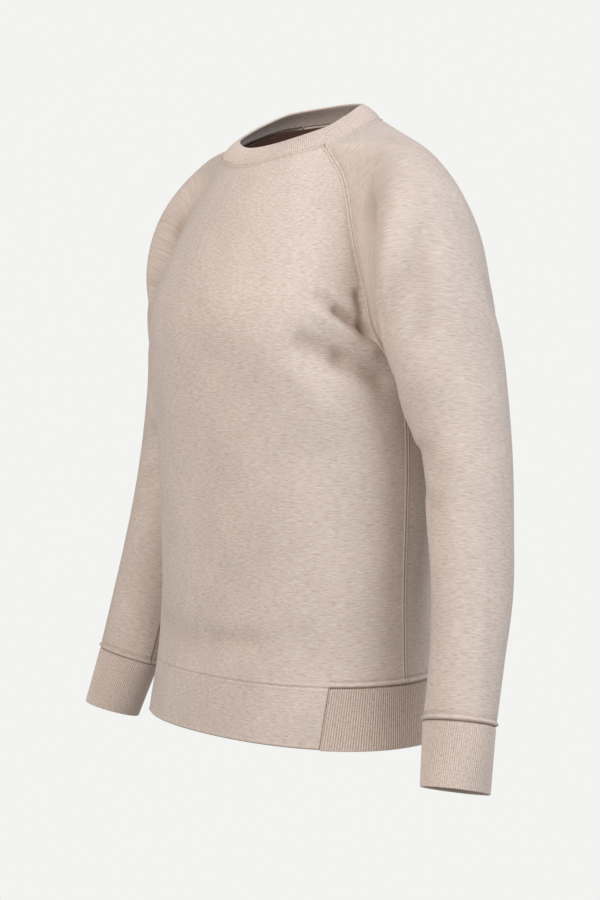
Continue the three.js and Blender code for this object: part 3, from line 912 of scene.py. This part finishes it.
def marl_group() -> bpy.types.NodeTree:
    """Yarn of mixed light and dark fibres that lies in short streaks across the cloth.

    Returns:
        The group.
    """
    sheet, given, result = make_group(
        "marled_yarn",
        [
            ("Vector", "NodeSocketVector", None),
            ("Ground", "NodeSocketColor", (0.6, 0.5, 0.43, 1)),
            ("Dark fibre", "NodeSocketColor", (0.3, 0.2, 0.15, 1)),
            ("Light fibre", "NodeSocketColor", (0.8, 0.75, 0.7, 1)),
            ("Streak across", "NodeSocketFloat", 90.0),
            ("Streak along", "NodeSocketFloat", 640.0),
        ],
        [("Color", "NodeSocketColor"), ("Height", "NodeSocketFloat")],
    )
    vector = given.outputs["Vector"]
    scale = sheet.add(
        "ShaderNodeCombineXYZ",
        {"X": given.outputs["Streak across"], "Y": given.outputs["Streak along"], "Z": 1.0},
    )
    laid = sheet.add("ShaderNodeVectorMath", {0: vector, 1: scale.outputs[0]}, operation="MULTIPLY")
    dark = sheet.noise(laid.outputs[0], 1.0, 3.0, 0.62)
    shifted = sheet.add("ShaderNodeVectorMath", {0: laid.outputs[0], 1: (37.0, 11.0, 5.0)}, operation="ADD")
    light = sheet.noise(shifted.outputs[0], 1.35, 2.0, 0.6)
    broad = sheet.noise(vector, 14.0, 2.0)
    dark_mask = sheet.ramp(dark.outputs["Fac"], 0.47, 0.76, 0.0, 0.55)
    light_mask = sheet.ramp(light.outputs["Fac"], 0.5, 0.8, 0.0, 0.6)
    darkened = sheet.add("ShaderNodeMix", data_type="RGBA")
    link_colors(sheet, darkened, dark_mask.outputs[0], given.outputs["Ground"], given.outputs["Dark fibre"])
    lightened = sheet.add("ShaderNodeMix", data_type="RGBA")
    link_colors(sheet, lightened, light_mask.outputs[0], color_out(darkened), given.outputs["Light fibre"])
    shade = sheet.ramp(broad.outputs["Fac"], 0.3, 0.7, 0.95, 1.04)
    tinted = sheet.add("ShaderNodeVectorMath", {0: color_out(lightened)}, operation="SCALE")
    sheet.link(shade.outputs[0], tinted.inputs["Scale"])
    sheet.link(tinted.outputs[0], result.inputs["Color"])
    sheet.link(dark.outputs["Fac"], result.inputs["Height"])
    return sheet.tree


def color_out(mix: bpy.types.Node) -> bpy.types.NodeSocket:
    """Colour output of a Mix node."""
    return next(socket for socket in mix.outputs if socket.type == "RGBA")


def link_colors(
    sheet: NodeSheet,
    mix: bpy.types.Node,
    factor: bpy.types.NodeSocket,
    first: bpy.types.NodeSocket,
    second: bpy.types.NodeSocket,
) -> None:
    """Links the factor and the two colour inputs of a Mix node.

    Args:
        sheet: The sheet the node is on.
        mix: The Mix node.
        factor: The mask between the two.
        first: Colour where the mask is 0.
        second: Colour where the mask is 1.
    """
    colors = [socket for socket in mix.inputs if socket.type == "RGBA"]
    sheet.link(factor, mix.inputs[0])
    sheet.link(first, colors[0])
    sheet.link(second, colors[1])


def nap_group() -> bpy.types.NodeTree:
    """Fine loops and fibres that stand off knitted cloth, as a height.

    Returns:
        The group.
    """
    sheet, given, result = make_group(
        "knit_nap",
        [("Vector", "NodeSocketVector", None), ("Loop pitch", "NodeSocketFloat", 900.0)],
        [("Height", "NodeSocketFloat")],
    )
    loops = sheet.noise(given.outputs["Vector"], given.outputs["Loop pitch"], 2.0, 0.6)
    soft = sheet.noise(given.outputs["Vector"], 230.0, 2.0)
    both = sheet.add("ShaderNodeMath", {0: loops.outputs["Fac"], 1: soft.outputs["Fac"]}, operation="ADD")
    sheet.link(both.outputs[0], result.inputs["Height"])
    return sheet.tree


@dataclass(frozen=True)
class KnitFinish:
    """Marled knit: its fibres' colours, and the tint and strength of the shade painted into its grooves,
    creases and seams.
    """

    name: str
    ground: tuple[float, float, float]
    dark: tuple[float, float, float]
    light: tuple[float, float, float]
    painted_shade_tint: tuple[float, float, float]
    painted_shade_strength: float
    streak_across: float
    streak_along: float
    nap: float
    sheen: float

    def material(self, groups: dict[str, bpy.types.NodeTree]) -> bpy.types.Material:
        """Makes the material.

        Args:
            groups: The shared node groups by name.

        Returns:
            The finished material.
        """
        material, sheet = blank_material(self.name)
        uv = sheet.add("ShaderNodeUVMap", uv_map=CLOTH_UV)
        marl = sheet.add("ShaderNodeGroup", node_tree=groups["marled_yarn"])
        sheet.link(uv.outputs[0], marl.inputs["Vector"])
        colors = (("Ground", self.ground), ("Dark fibre", self.dark), ("Light fibre", self.light))
        for label, color in colors:
            marl.inputs[label].default_value = (*color, 1)
        marl.inputs["Streak across"].default_value = self.streak_across
        marl.inputs["Streak along"].default_value = self.streak_along
        # Painted shade: where the painted lightness falls below 1, the yarn colour is multiplied towards
        # the painted shade tint.
        depth = sheet.add("ShaderNodeAttribute", attribute_name=PAINTED_LIGHTNESS, attribute_type="GEOMETRY")
        shadow = sheet.ramp(depth.outputs["Fac"], 0.0, 1.0, self.painted_shade_strength, 0.0)
        mixed = sheet.add("ShaderNodeMix", data_type="RGBA", blend_type="MULTIPLY")
        sheet.link(shadow.outputs[0], mixed.inputs[0])
        yarn, painted_shade_tint = (socket for socket in mixed.inputs if socket.type == "RGBA")
        sheet.link(marl.outputs["Color"], yarn)
        painted_shade_tint.default_value = (*self.painted_shade_tint, 1)
        nap = sheet.add("ShaderNodeGroup", node_tree=groups["knit_nap"])
        sheet.link(uv.outputs[0], nap.inputs["Vector"])
        heights = {0: marl.outputs["Height"], 1: nap.outputs["Height"]}
        height = sheet.add("ShaderNodeMath", heights, operation="ADD")
        bump = sheet.add(
            "ShaderNodeBump",
            {"Strength": self.nap, "Distance": 0.0006, "Height": height.outputs[0]},
        )
        shader = sheet.add(
            "ShaderNodeBsdfPrincipled",
            {
                "Base Color": color_out(mixed),
                "Roughness": 0.92,
                "Specular IOR Level": 0.22,
                "Sheen Weight": self.sheen,
                "Sheen Roughness": 0.45,
                "Normal": bump.outputs[0],
            },
        )
        sheet.surface(shader)
        return material


@dataclass(frozen=True)
class WovenFinish:
    """Plain woven cloth in one colour, with a fine twill bump."""

    name: str
    color: tuple[float, float, float]
    pitch: float
    roughness: float

    def material(self) -> bpy.types.Material:
        """Makes the material.

        Returns:
            The finished material.
        """
        material, sheet = blank_material(self.name)
        place = sheet.add("ShaderNodeTexCoord")
        twill = sheet.add(
            "ShaderNodeTexWave",
            {"Vector": place.outputs["Object"], "Scale": self.pitch, "Distortion": 0.6, "Detail": 1.0},
            wave_type="BANDS",
            bands_direction="DIAGONAL",
        )
        fleck = sheet.noise(place.outputs["Object"], 420.0, 3.0)
        shade = sheet.ramp(fleck.outputs["Fac"], 0.3, 0.7, 0.75, 1.2)
        tinted = sheet.add("ShaderNodeVectorMath", {0: self.color}, operation="SCALE")
        sheet.link(shade.outputs[0], tinted.inputs["Scale"])
        bump = sheet.add(
            "ShaderNodeBump",
            {"Strength": 0.5, "Distance": 0.0003, "Height": twill.outputs["Fac"]},
        )
        shader = sheet.add(
            "ShaderNodeBsdfPrincipled",
            {"Base Color": tinted.outputs[0], "Roughness": self.roughness, "Normal": bump.outputs[0]},
        )
        sheet.surface(shader)
        return material


@dataclass
class Wardrobe:
    """The finishes of all the pieces."""

    fleece: bpy.types.Material = field(init=False)
    rib: bpy.types.Material = field(init=False)
    facing: bpy.types.Material = field(init=False)

    def __post_init__(self) -> None:
        """Makes the shared groups and then the materials."""
        groups = {"marled_yarn": marl_group(), "knit_nap": nap_group()}
        self.fleece = KnitFinish(
            name="marled_fleece",
            ground=(0.6, 0.495, 0.435),
            dark=(0.3, 0.19, 0.14),
            light=(0.8, 0.74, 0.68),
            # Brown tint of the shade painted into the fleece's creases and seams.
            painted_shade_tint=(0.42, 0.3, 0.24),
            painted_shade_strength=1.0,
            streak_across=105.0,
            streak_along=760.0,
            nap=0.35,
            sheen=0.2,
        ).material(groups)
        self.rib = KnitFinish(
            name="marled_rib",
            ground=(0.7, 0.59, 0.525),
            dark=(0.3, 0.19, 0.14),
            light=(0.78, 0.72, 0.66),
            # Brown tint of the shade painted into the rib grooves and beside the band seams.
            painted_shade_tint=(0.46, 0.36, 0.31),
            painted_shade_strength=1.0,
            streak_across=260.0,
            streak_along=520.0,
            nap=0.3,
            sheen=0.15,
        ).material(groups)
        self.facing = WovenFinish("facing_twill", (0.085, 0.035, 0.022), 900.0, 0.85).material()


@dataclass
class FrontPanel:
    """The front, from the neck down to the hem between the ribs' two slanted edges."""

    name: str = "front_cloth"
    node: str = "front"
    wall: float = 2.2
    step: float = 3.4
    flat: tuple[float, float] = (0.54, 0.64)
    area: float = 0.28
    half_width: float = 270
    raglan_length: float = 266

    def shares(self) -> np.ndarray:
        """Column places from the right side seam to the left, closer at seams and flap edges.

        Returns:
            Shares from -1 to 1.
        """
        flap = FORM.flap_angle_top / FORM.side_angle
        middle = graded(2 * self.half_width * flap, self.step) * 2 - 1
        side = graded(self.half_width * (1 - flap), self.step)
        right = -1 + side * (1 - flap)
        left = flap + side * (1 - flap)
        return np.concatenate([right[:-1], middle * flap, left[1:]])

    def surface(self) -> ClothSurface:
        """The panel's points with its creases and seams.

        Returns:
            The raised surface.
        """
        share = self.shares()
        hem = graded(FORM.rib_top_z - FORM.hem_z, self.step)
        waist = graded(FORM.underarm_z - FORM.rib_top_z, self.step, fine_end=False)
        raglan = graded(self.raglan_length, self.step, fine_start=False)
        flap_angle = FORM.flap_angle_hem + (FORM.flap_angle_top - FORM.flap_angle_hem) * hem
        angles = [share[:, None] * FORM.side_angle * flap_angle[None] / FORM.flap_angle_top]
        heights = [np.broadcast_to(FORM.hem_z + (FORM.rib_top_z - FORM.hem_z) * hem, angles[0].shape)]
        angles.append(np.broadcast_to(share[:, None] * FORM.side_angle, (len(share), len(waist) - 1)))
        rise = FORM.rib_top_z + (FORM.underarm_z - FORM.rib_top_z) * waist[1:]
        heights.append(np.broadcast_to(rise, angles[1].shape))
        top = FORM.raglan_place(share[:, None], raglan[None, 1:], far=False)
        angle = np.concatenate([*angles, top[0]], 1)
        z = np.concatenate([*heights, top[1]], 1)
        points = FORM.body_point(angle, z)
        row = np.arange(points.shape[1])
        raglan_rows = row >= len(hem) + len(waist) - 2
        for end, inner in ((0, 1), (-1, -2)):
            points[end, ~raglan_rows] += unit(points[end] - points[inner])[~raglan_rows] * SEAM_CLOSE
        seam_row = len(hem) - 1
        flap = FORM.flap_angle_top / FORM.side_angle
        beyond = np.abs(share) > flap + 1e-6
        from_right = distance_in(points, 0, False)
        from_left = distance_in(points, 0, True)
        from_top = distance_in(points, 1, True)
        from_hem = distance_in(points, 1, False)
        edge = np.minimum(from_right, from_left)
        work = SeamWork(faded(BODY_CREASES.rise(angle, z), np.minimum(edge, from_top)))
        above_hem = row >= seam_row
        work.sew(SeamRoll.FLAT_FELLED, edge, raglan_rows)
        work.sew(SeamRoll.PLAIN, edge, ~raglan_rows & above_hem)
        work.sew(SeamRoll.UNDER_COLLAR, from_top)
        work.sew(SeamRoll.TURNED_HEM, from_hem, ~beyond[:, None])
        from_rib = from_hem - from_hem[:, seam_row : seam_row + 1]
        work.sew(SeamRoll.OVER_RIB, from_rib, beyond[:, None] & above_hem)
        work.sew(SeamRoll.PRESSED_LINE, np.abs(from_rib), ~beyond[:, None])
        for column in (int(np.argmin(np.abs(share + flap))), int(np.argmin(np.abs(share - flap)))):
            gap = np.abs(from_right - from_right[column])
            work.sew(SeamRoll.FLAP_EDGE, gap, ~above_hem & ~beyond[:, None])
        across = share[:, None] * self.half_width + 0 * z
        surface = ClothSurface(points, across, z, painted_lightness=1 - work.shade)
        surface.raised(work.rise)
        limit, seam_z = flap * self.half_width * MM, FORM.rib_top_z * MM
        surface.kept = lambda u, v: v > seam_z or abs(u) < limit
        return surface

    def make(self, wardrobe: Wardrobe) -> bpy.types.Object:
        """Builds and dresses the front.

        Args:
            wardrobe: The finishes.

        Returns:
            The finished piece.
        """
        piece = self.surface().build(self.name)
        thicken(piece, self.wall)
        piece.data.materials.append(wardrobe.fleece)
        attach(piece, "root")
        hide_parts(self.node)
        return piece


@dataclass
class BackPanel:
    """The back, from the neck down to the hem rib."""

    name: str = "back_cloth"
    node: str = "back"
    wall: float = 2.2
    step: float = 3.6
    flat: tuple[float, float] = (0.51, 0.61)
    area: float = 0.24
    half_width: float = 250
    raglan_length: float = 300

    def plan(self) -> tuple[np.ndarray, np.ndarray, np.ndarray, int]:
        """Shares, angles and heights of the panel's grid, and its first raglan row.

        Returns:
            The shares, angles, heights and row number.
        """
        share = graded(2 * self.half_width, self.step) * 2 - 1
        waist = graded(FORM.underarm_z - FORM.rib_top_z, self.step, fine_end=False)
        raglan = graded(self.raglan_length, self.step, fine_start=False)
        low = np.broadcast_to(180 + share[:, None] * FORM.side_angle, (len(share), len(waist)))
        rise = np.broadcast_to(FORM.rib_top_z + (FORM.underarm_z - FORM.rib_top_z) * waist, low.shape)
        top = FORM.raglan_place(share[:, None], raglan[None, 1:], far=True)
        return share, np.concatenate([low, top[0]], 1), np.concatenate([rise, top[1]], 1), len(waist) - 1

    def surface(self) -> ClothSurface:
        """The panel's points with its creases and seams.

        Returns:
            The raised surface.
        """
        share, angle, z, raglan_row = self.plan()
        points = FORM.body_point(angle, z)
        edge = np.minimum(distance_in(points, 0, False), distance_in(points, 0, True))
        work = SeamWork(faded(BODY_CREASES.rise(angle, z), edge))
        raglan_rows = np.arange(points.shape[1]) >= raglan_row
        work.sew(SeamRoll.FLAT_FELLED, edge, raglan_rows)
        work.sew(SeamRoll.PLAIN, edge, ~raglan_rows)
        work.sew(SeamRoll.UNDER_COLLAR, distance_in(points, 1, True))
        work.sew(SeamRoll.OVER_RIB, distance_in(points, 1, False))
        across = share[:, None] * self.half_width + 0 * z
        return ClothSurface(points, across, z, painted_lightness=1 - work.shade).raised(work.rise)

    def make(self, wardrobe: Wardrobe) -> bpy.types.Object:
        """Builds and dresses the back.

        Args:
            wardrobe: The finishes.

        Returns:
            The finished piece.
        """
        piece = self.surface().build(self.name)
        thicken(piece, self.wall)
        piece.data.materials.append(wardrobe.fleece)
        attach(piece, "root")
        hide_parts(self.node)
        return piece


@dataclass
class Sleeve:
    """One raglan sleeve, from the armhole and the neck down to its cuff seam."""

    side: Side
    wall: float = 2.2
    step: float = 3.6
    flat: tuple[float, float] = (0.44, 0.66)
    area: float = 0.18
    columns: int = 132
    length: float = 620

    @property
    def label(self) -> str:
        """left or right."""
        return self.side.name.lower()

    def surface(self) -> ClothSurface:
        """The sleeve's points with its creases and seams.

        Returns:
            The raised surface.
        """
        share = np.linspace(0, 1, self.columns)
        down = graded(self.length, self.step)[::-1]
        if self.side is Side.RIGHT:
            share = share[::-1]
        points = FORM.sleeve(self.side, share, down)
        points[-1] = points[0]
        points[:, -1] += unit(points[:, -1] - points[:, -2]) * SEAM_CLOSE
        from_top = distance_in(points, 1, True)
        work = SeamWork(faded(SLEEVE_CREASES.rise(share[:, None], down[None]), from_top))
        work.sew(SeamRoll.FLAT_FELLED, from_top)
        work.sew(SeamRoll.OVER_RIB, distance_in(points, 1, False))
        underarm = np.minimum(distance_in(points, 0, False), distance_in(points, 0, True))
        work.sew(SeamRoll.PLAIN, underarm)
        along = distance_in(points, 1, False)
        across = flat_across(points, along)
        surface = ClothSurface(points, across, along, around=True, painted_lightness=1 - work.shade)
        return surface.raised(work.rise)

    def make(self, wardrobe: Wardrobe) -> bpy.types.Object:
        """Builds and dresses the sleeve.

        Args:
            wardrobe: The finishes.

        Returns:
            The finished piece.
        """
        piece = self.surface().build(f"sleeve_{self.label}_cloth")
        thicken(piece, self.wall)
        piece.data.materials.append(wardrobe.fleece)
        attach(piece, "root")
        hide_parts(f"sleeve_{self.label}")
        return piece


@dataclass
class RibBand:
    """A doubled band of rib knit with a rounded fold at its free edge."""

    name: str
    node: str
    outline: Callable[[np.ndarray, np.ndarray], np.ndarray]
    start: float
    stop: float
    ribs: int
    depth: float
    length: float
    around: bool
    outward: int
    flat: tuple[float, float]
    wall: float = 2.6
    step: float = 3.2
    fold_turns: int = 7
    rib_height: float = 0.85
    # How strongly the rib grooves are painted darker (painted shade); it also sets how far the fold and the
    # lining follow the ribs.
    contrast: float = 0.8
    seam: SeamRoll = SeamRoll.UNDER_CLOTH
    per_rib: int = 4

    def surface(self) -> ClothSurface:
        """Closed section of the band, carried along it, with its ribs raised.

        Returns:
            The closed surface.
        """
        count = self.ribs * self.per_rib + 1
        place = np.linspace(self.start, self.stop, count)
        rows = graded(self.depth, self.step, fine_end=False)
        outer = self.outline(place, rows)
        if self.around:
            outer[-1] = outer[0]
        way = grid_normals(outer, self.around) * self.outward
        phase = np.arange(count)[:, None] * 2 * np.pi / self.per_rib
        ridge = (0.5 + 0.5 * np.cos(phase)) + 0 * outer[..., 0]
        from_seam = distance_in(outer, 1, False)
        profile = SEAM_PROFILES[self.seam]
        rise = self.rib_height * (ridge - 1) + bell_sum(profile.bumps, from_seam)
        face = outer + way * rise[..., None]
        edge_way, edge_along = way[:, -1], unit(outer[:, -1] - outer[:, -2])
        section = [face]
        # Painted shade: the rib grooves and the strip beside the band's seam are darkened in colour.
        shade = np.clip(bell_sum(profile.shades, from_seam), 0, 1)
        ridge = 1 - (1 - ridge) * self.contrast
        painted_rib_lightness = [ridge * (1 - 0.8 * shade)]
        turns = np.linspace(0, math.pi, self.fold_turns)[1:-1]
        half = self.wall / 2
        for turn in turns:
            lift = half + self.rib_height * (ridge[:, -1] - 1) * 0.9
            middle = outer[:, -1] - edge_way * half
            out, over = lift * math.cos(turn), lift * math.sin(turn)
            ring = middle + edge_way * out[:, None] + edge_along * over[:, None]
            section.append(ring[:, None])
            painted_rib_lightness.append(ridge[:, -1:])
        back_rows = np.arange(len(rows) - 1, -1, -2)
        lining_rise = self.wall + 0.5 * self.rib_height * (ridge[:, back_rows] - 1)
        section.append(outer[:, back_rows] - way[:, back_rows] * lining_rise[..., None])
        painted_rib_lightness.append(ridge[:, back_rows])
        section.append(face[:, :1])
        painted_rib_lightness.append(ridge[:, :1])
        points = np.concatenate(section, 1)
        painted_lightness = np.concatenate(painted_rib_lightness, 1)
        along = distance_in(outer, 1, False)
        flat_along = np.concatenate(
            [
                along,
                np.repeat(along[:, -1:], len(turns), 1) + np.linspace(0.6, 4, len(turns)),
                2 * along[:, -1:] + 4 - along[:, back_rows],
                2 * along[:, -1:] + 6 + 0 * along[:, :1],
            ],
            1,
        )
        across = np.linspace(0, self.length, count)[:, None] + 0 * flat_along
        if self.outward < 0:
            points, painted_lightness, flat_along = points[:, ::-1], painted_lightness[:, ::-1], flat_along[:, ::-1]
        return ClothSurface(points, across, flat_along, around=self.around, painted_lightness=painted_lightness, closed_rows=True)

    def make(self, wardrobe: Wardrobe) -> bpy.types.Object:
        """Builds and dresses the band.

        Args:
            wardrobe: The finishes.

        Returns:
            The finished piece.
        """
        piece = self.surface().build(self.name)
        piece.data.materials.append(wardrobe.rib)
        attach(piece, "root")
        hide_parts(self.node)
        return piece


def collar_band() -> RibBand:
    """The round neck rib."""
    return RibBand(
        name="collar_cloth",
        node="collar",
        outline=lambda place, rows: FORM.collar(place, rows),
        start=-180,
        stop=180,
        ribs=230,
        depth=25,
        length=540,
        around=True,
        outward=1,
        flat=(0.54, 0.027),
        contrast=0.4,
        seam=SeamRoll.COLLAR_EDGE,
    )


def hem_band() -> RibBand:
    """The hem rib, from the front's left edge round the back to its right edge.

    Returns:
        The band.
    """

    def outline(place: np.ndarray, rows: np.ndarray) -> np.ndarray:
        """Grid of points from the rib's seam down to the hem.

        Args:
            place: Angles from the middle of the back.
            rows: Shares from the seam down to the hem.

        Returns:
            Points, of places by rows by three.
        """
        z = FORM.rib_top_z + (FORM.hem_z - FORM.rib_top_z) * rows
        edge = FORM.flap_angle_top + (FORM.flap_angle_hem - FORM.flap_angle_top) * rows
        stretch = (180 - edge) / (180 - FORM.flap_angle_top)
        return FORM.body_point(180 + place[:, None] * stretch[None], z[None] + 0 * place[:, None])

    reach = 180 - FORM.flap_angle_top
    return RibBand(
        name="hem_rib_cloth",
        node="hem_rib",
        outline=outline,
        start=-reach,
        stop=reach,
        ribs=292,
        depth=65,
        length=690,
        around=False,
        outward=-1,
        flat=(0.66, 0.068),
    )


def cuff_band(side: Side) -> RibBand:
    """One sleeve's cuff.

    Args:
        side: Which arm.

    Returns:
        The band.
    """
    label = side.name.lower()
    start, stop = (0, 1) if side is Side.LEFT else (1, 0)
    return RibBand(
        name=f"cuff_{label}_cloth",
        node=f"cuff_{label}",
        outline=lambda place, rows: FORM.cuff(side, place, rows),
        start=start,
        stop=stop,
        ribs=96,
        depth=66,
        length=225,
        around=True,
        outward=-1,
        flat=(0.22, 0.069),
        contrast=0.45,
    )


@dataclass
class NeckFacing:
    """Half moon of woven cloth that covers the inside of the back neck."""

    name: str = "neck_facing_cloth"
    half_angle: float = 118
    depth: float = 60
    end_depth: float = 14
    drop: float = 3
    clearance: float = 3.2
    wall: float = 1.0
    half_width: float = 180
    columns: int = 150
    rows: int = 26

    def make(self, wardrobe: Wardrobe) -> bpy.types.Object:
        """Builds and dresses the facing.

        Args:
            wardrobe: The finishes.

        Returns:
            The finished piece.
        """
        share = np.linspace(-1, 1, self.columns)
        rows = np.linspace(0, 1, self.rows)
        moon = np.sqrt(np.maximum(0, 1 - share**2))
        reach = self.end_depth + (self.depth - self.end_depth) * moon
        angle = 180 + self.half_angle * share[:, None] + 0 * rows[None]
        top = FORM.neck_at(angle)[..., 0] - self.drop
        z = top - reach[:, None] * (1 - rows[None])
        points = FORM.body_point(angle, z)
        points = points - grid_normals(points, False) * self.clearance
        across = share[:, None] * self.half_width + 0 * z
        piece = ClothSurface(points, across, z).build(self.name)
        thicken(piece, self.wall)
        piece.data.materials.append(wardrobe.facing)
        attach(piece, "root")
        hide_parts("neck_facing")
        return piece


@dataclass
class Studio:
    """Pale sweep, soft lights and the camera at the photograph's place."""

    azimuth: float = 49.6
    distance: float = 2.381
    height: float = -0.1996
    aside: float = 0.0005
    pitch: float = 3.75
    lens: float = 86.3
    floor_z: float = -1.45
    floor_reach: float = 4.2
    bend: float = 1.8
    bend_steps: int = 12
    wall_top: float = 7.0
    lamp_distance: float = 3.0
    lamp_aim_z: float = -0.33
    backdrop: tuple[float, float, float] = (0.896, 0.896, 0.880)
    paper_seen: float = 1.0
    paper_fill: float = 0.5

    def camera(self) -> None:
        """Makes the camera."""
        turn, dip = math.radians(self.azimuth), math.radians(self.pitch)
        right = Vector((math.cos(turn), math.sin(turn), 0))
        ahead = Vector((-math.sin(turn) * math.cos(dip), math.cos(turn) * math.cos(dip), -math.sin(dip)))
        up = right.cross(ahead)
        place = Vector((self.distance * math.sin(turn), -self.distance * math.cos(turn), self.height))
        place += right * self.aside
        data = bpy.data.cameras.new("camera")
        data.lens = self.lens
        data.sensor_width = 36
        data.clip_start, data.clip_end = 0.05, 60
        camera = bpy.data.objects.new("camera", data)
        camera.matrix_world = Matrix(
            (
                (right.x, up.x, -ahead.x, place.x),
                (right.y, up.y, -ahead.y, place.y),
                (right.z, up.z, -ahead.z, place.z),
                (0, 0, 0, 1),
            )
        )
        bpy.context.scene.collection.objects.link(camera)
        bpy.context.scene.camera = camera

    def sweep(self) -> None:
        """Makes the floor and the wall that rises out of it all round."""
        profile = [(0.0, self.floor_z), (self.floor_reach, self.floor_z)]
        for step in range(1, self.bend_steps + 1):
            turn = math.radians(90 * step / self.bend_steps)
            radius = self.floor_reach + self.bend * math.sin(turn)
            profile.append((radius, self.floor_z + self.bend * (1 - math.cos(turn))))
        profile.append((self.floor_reach + self.bend, self.wall_top))
        shape = bmesh.new()
        verts = [shape.verts.new((radius, 0, z)) for radius, z in profile]
        edges = [shape.edges.new(pair) for pair in zip(verts, verts[1:])]
        bmesh.ops.spin(
            shape,
            geom=[*verts, *edges],
            cent=(0, 0, 0),
            axis=(0, 0, 1),
            angle=math.tau,
            steps=96,
            use_merge=True,
        )
        bmesh.ops.remove_doubles(shape, verts=shape.verts, dist=0.0005)
        for face in shape.faces:
            face.smooth = True
        mesh = bpy.data.meshes.new("studio_sweep")
        shape.to_mesh(mesh)
        shape.free()
        floor = bpy.data.objects.new("studio_sweep", mesh)
        bpy.context.scene.collection.objects.link(floor)
        material, sheet = blank_material("studio_paper")
        path = sheet.add("ShaderNodeLightPath")
        strength = sheet.add(
            "ShaderNodeMapRange",
            {"Value": path.outputs["Is Camera Ray"], "To Min": self.paper_fill, "To Max": self.paper_seen},
        )
        glow = sheet.add(
            "ShaderNodeEmission",
            {"Color": (*self.backdrop, 1), "Strength": strength.outputs[0]},
        )
        sheet.surface(glow)
        mesh.materials.append(material)

    def lamp(
        self,
        name: str,
        azimuth: float,
        elevation: float,
        size: float,
        power: float,
        tint: tuple[float, float, float],
    ) -> None:
        """Adds a square soft light that faces the garment's middle.

        Args:
            name: The light's name.
            azimuth: Its direction round the garment, in degrees, 0 in front.
            elevation: Its height above the garment's middle, in degrees.
            size: Its width in metres.
            power: Its power in watts.
            tint: Its colour.
        """
        turn, lift = math.radians(azimuth), math.radians(elevation)
        aim = Vector((0, 0, self.lamp_aim_z))
        way = Vector((math.sin(turn) * math.cos(lift), -math.cos(turn) * math.cos(lift), math.sin(lift)))
        data = bpy.data.lights.new(name, "AREA")
        data.size = size
        data.energy = power
        data.color = tint
        light = bpy.data.objects.new(name, data)
        light.location = aim + way * self.lamp_distance
        light.rotation_euler = (-way).to_track_quat("-Z", "Y").to_euler()
        bpy.context.scene.collection.objects.link(light)

    def build(self) -> None:
        """Sets the view, the world, the sweep, the lights and the camera."""
        scene = bpy.context.scene
        scene.view_settings.view_transform = "Standard"
        world = bpy.data.worlds.new("studio_air")
        world.use_nodes = True
        background = world.node_tree.nodes["Background"]
        background.inputs["Color"].default_value = (1.0, 0.92, 0.86, 1)
        background.inputs["Strength"].default_value = 0.4
        scene.world = world
        self.sweep()
        self.lamp("key", 16, 23, 1.4, 51.5, (1.0, 0.97, 0.945))
        self.lamp("rim", 98, 34, 1.5, 50, (0.84, 0.93, 1.0))
        self.camera()


def main() -> None:
    """Builds the sweatshirt over its frame, piece by piece."""
    logging.basicConfig(level=logging.INFO, format="%(name)s: %(message)s")
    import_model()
    wardrobe = Wardrobe()
    makers = [
        collar_band(),
        hem_band(),
        cuff_band(Side.LEFT),
        cuff_band(Side.RIGHT),
        FrontPanel(),
        BackPanel(),
        Sleeve(Side.LEFT),
        Sleeve(Side.RIGHT),
        NeckFacing(),
    ]
    for maker in makers:
        piece = maker.make(wardrobe)
        LOG.info("%s: %d faces", piece.name, len(piece.data.polygons))
    Studio().build()
    LOG.info("studio ready")


if __name__ == "__main__":
    main()
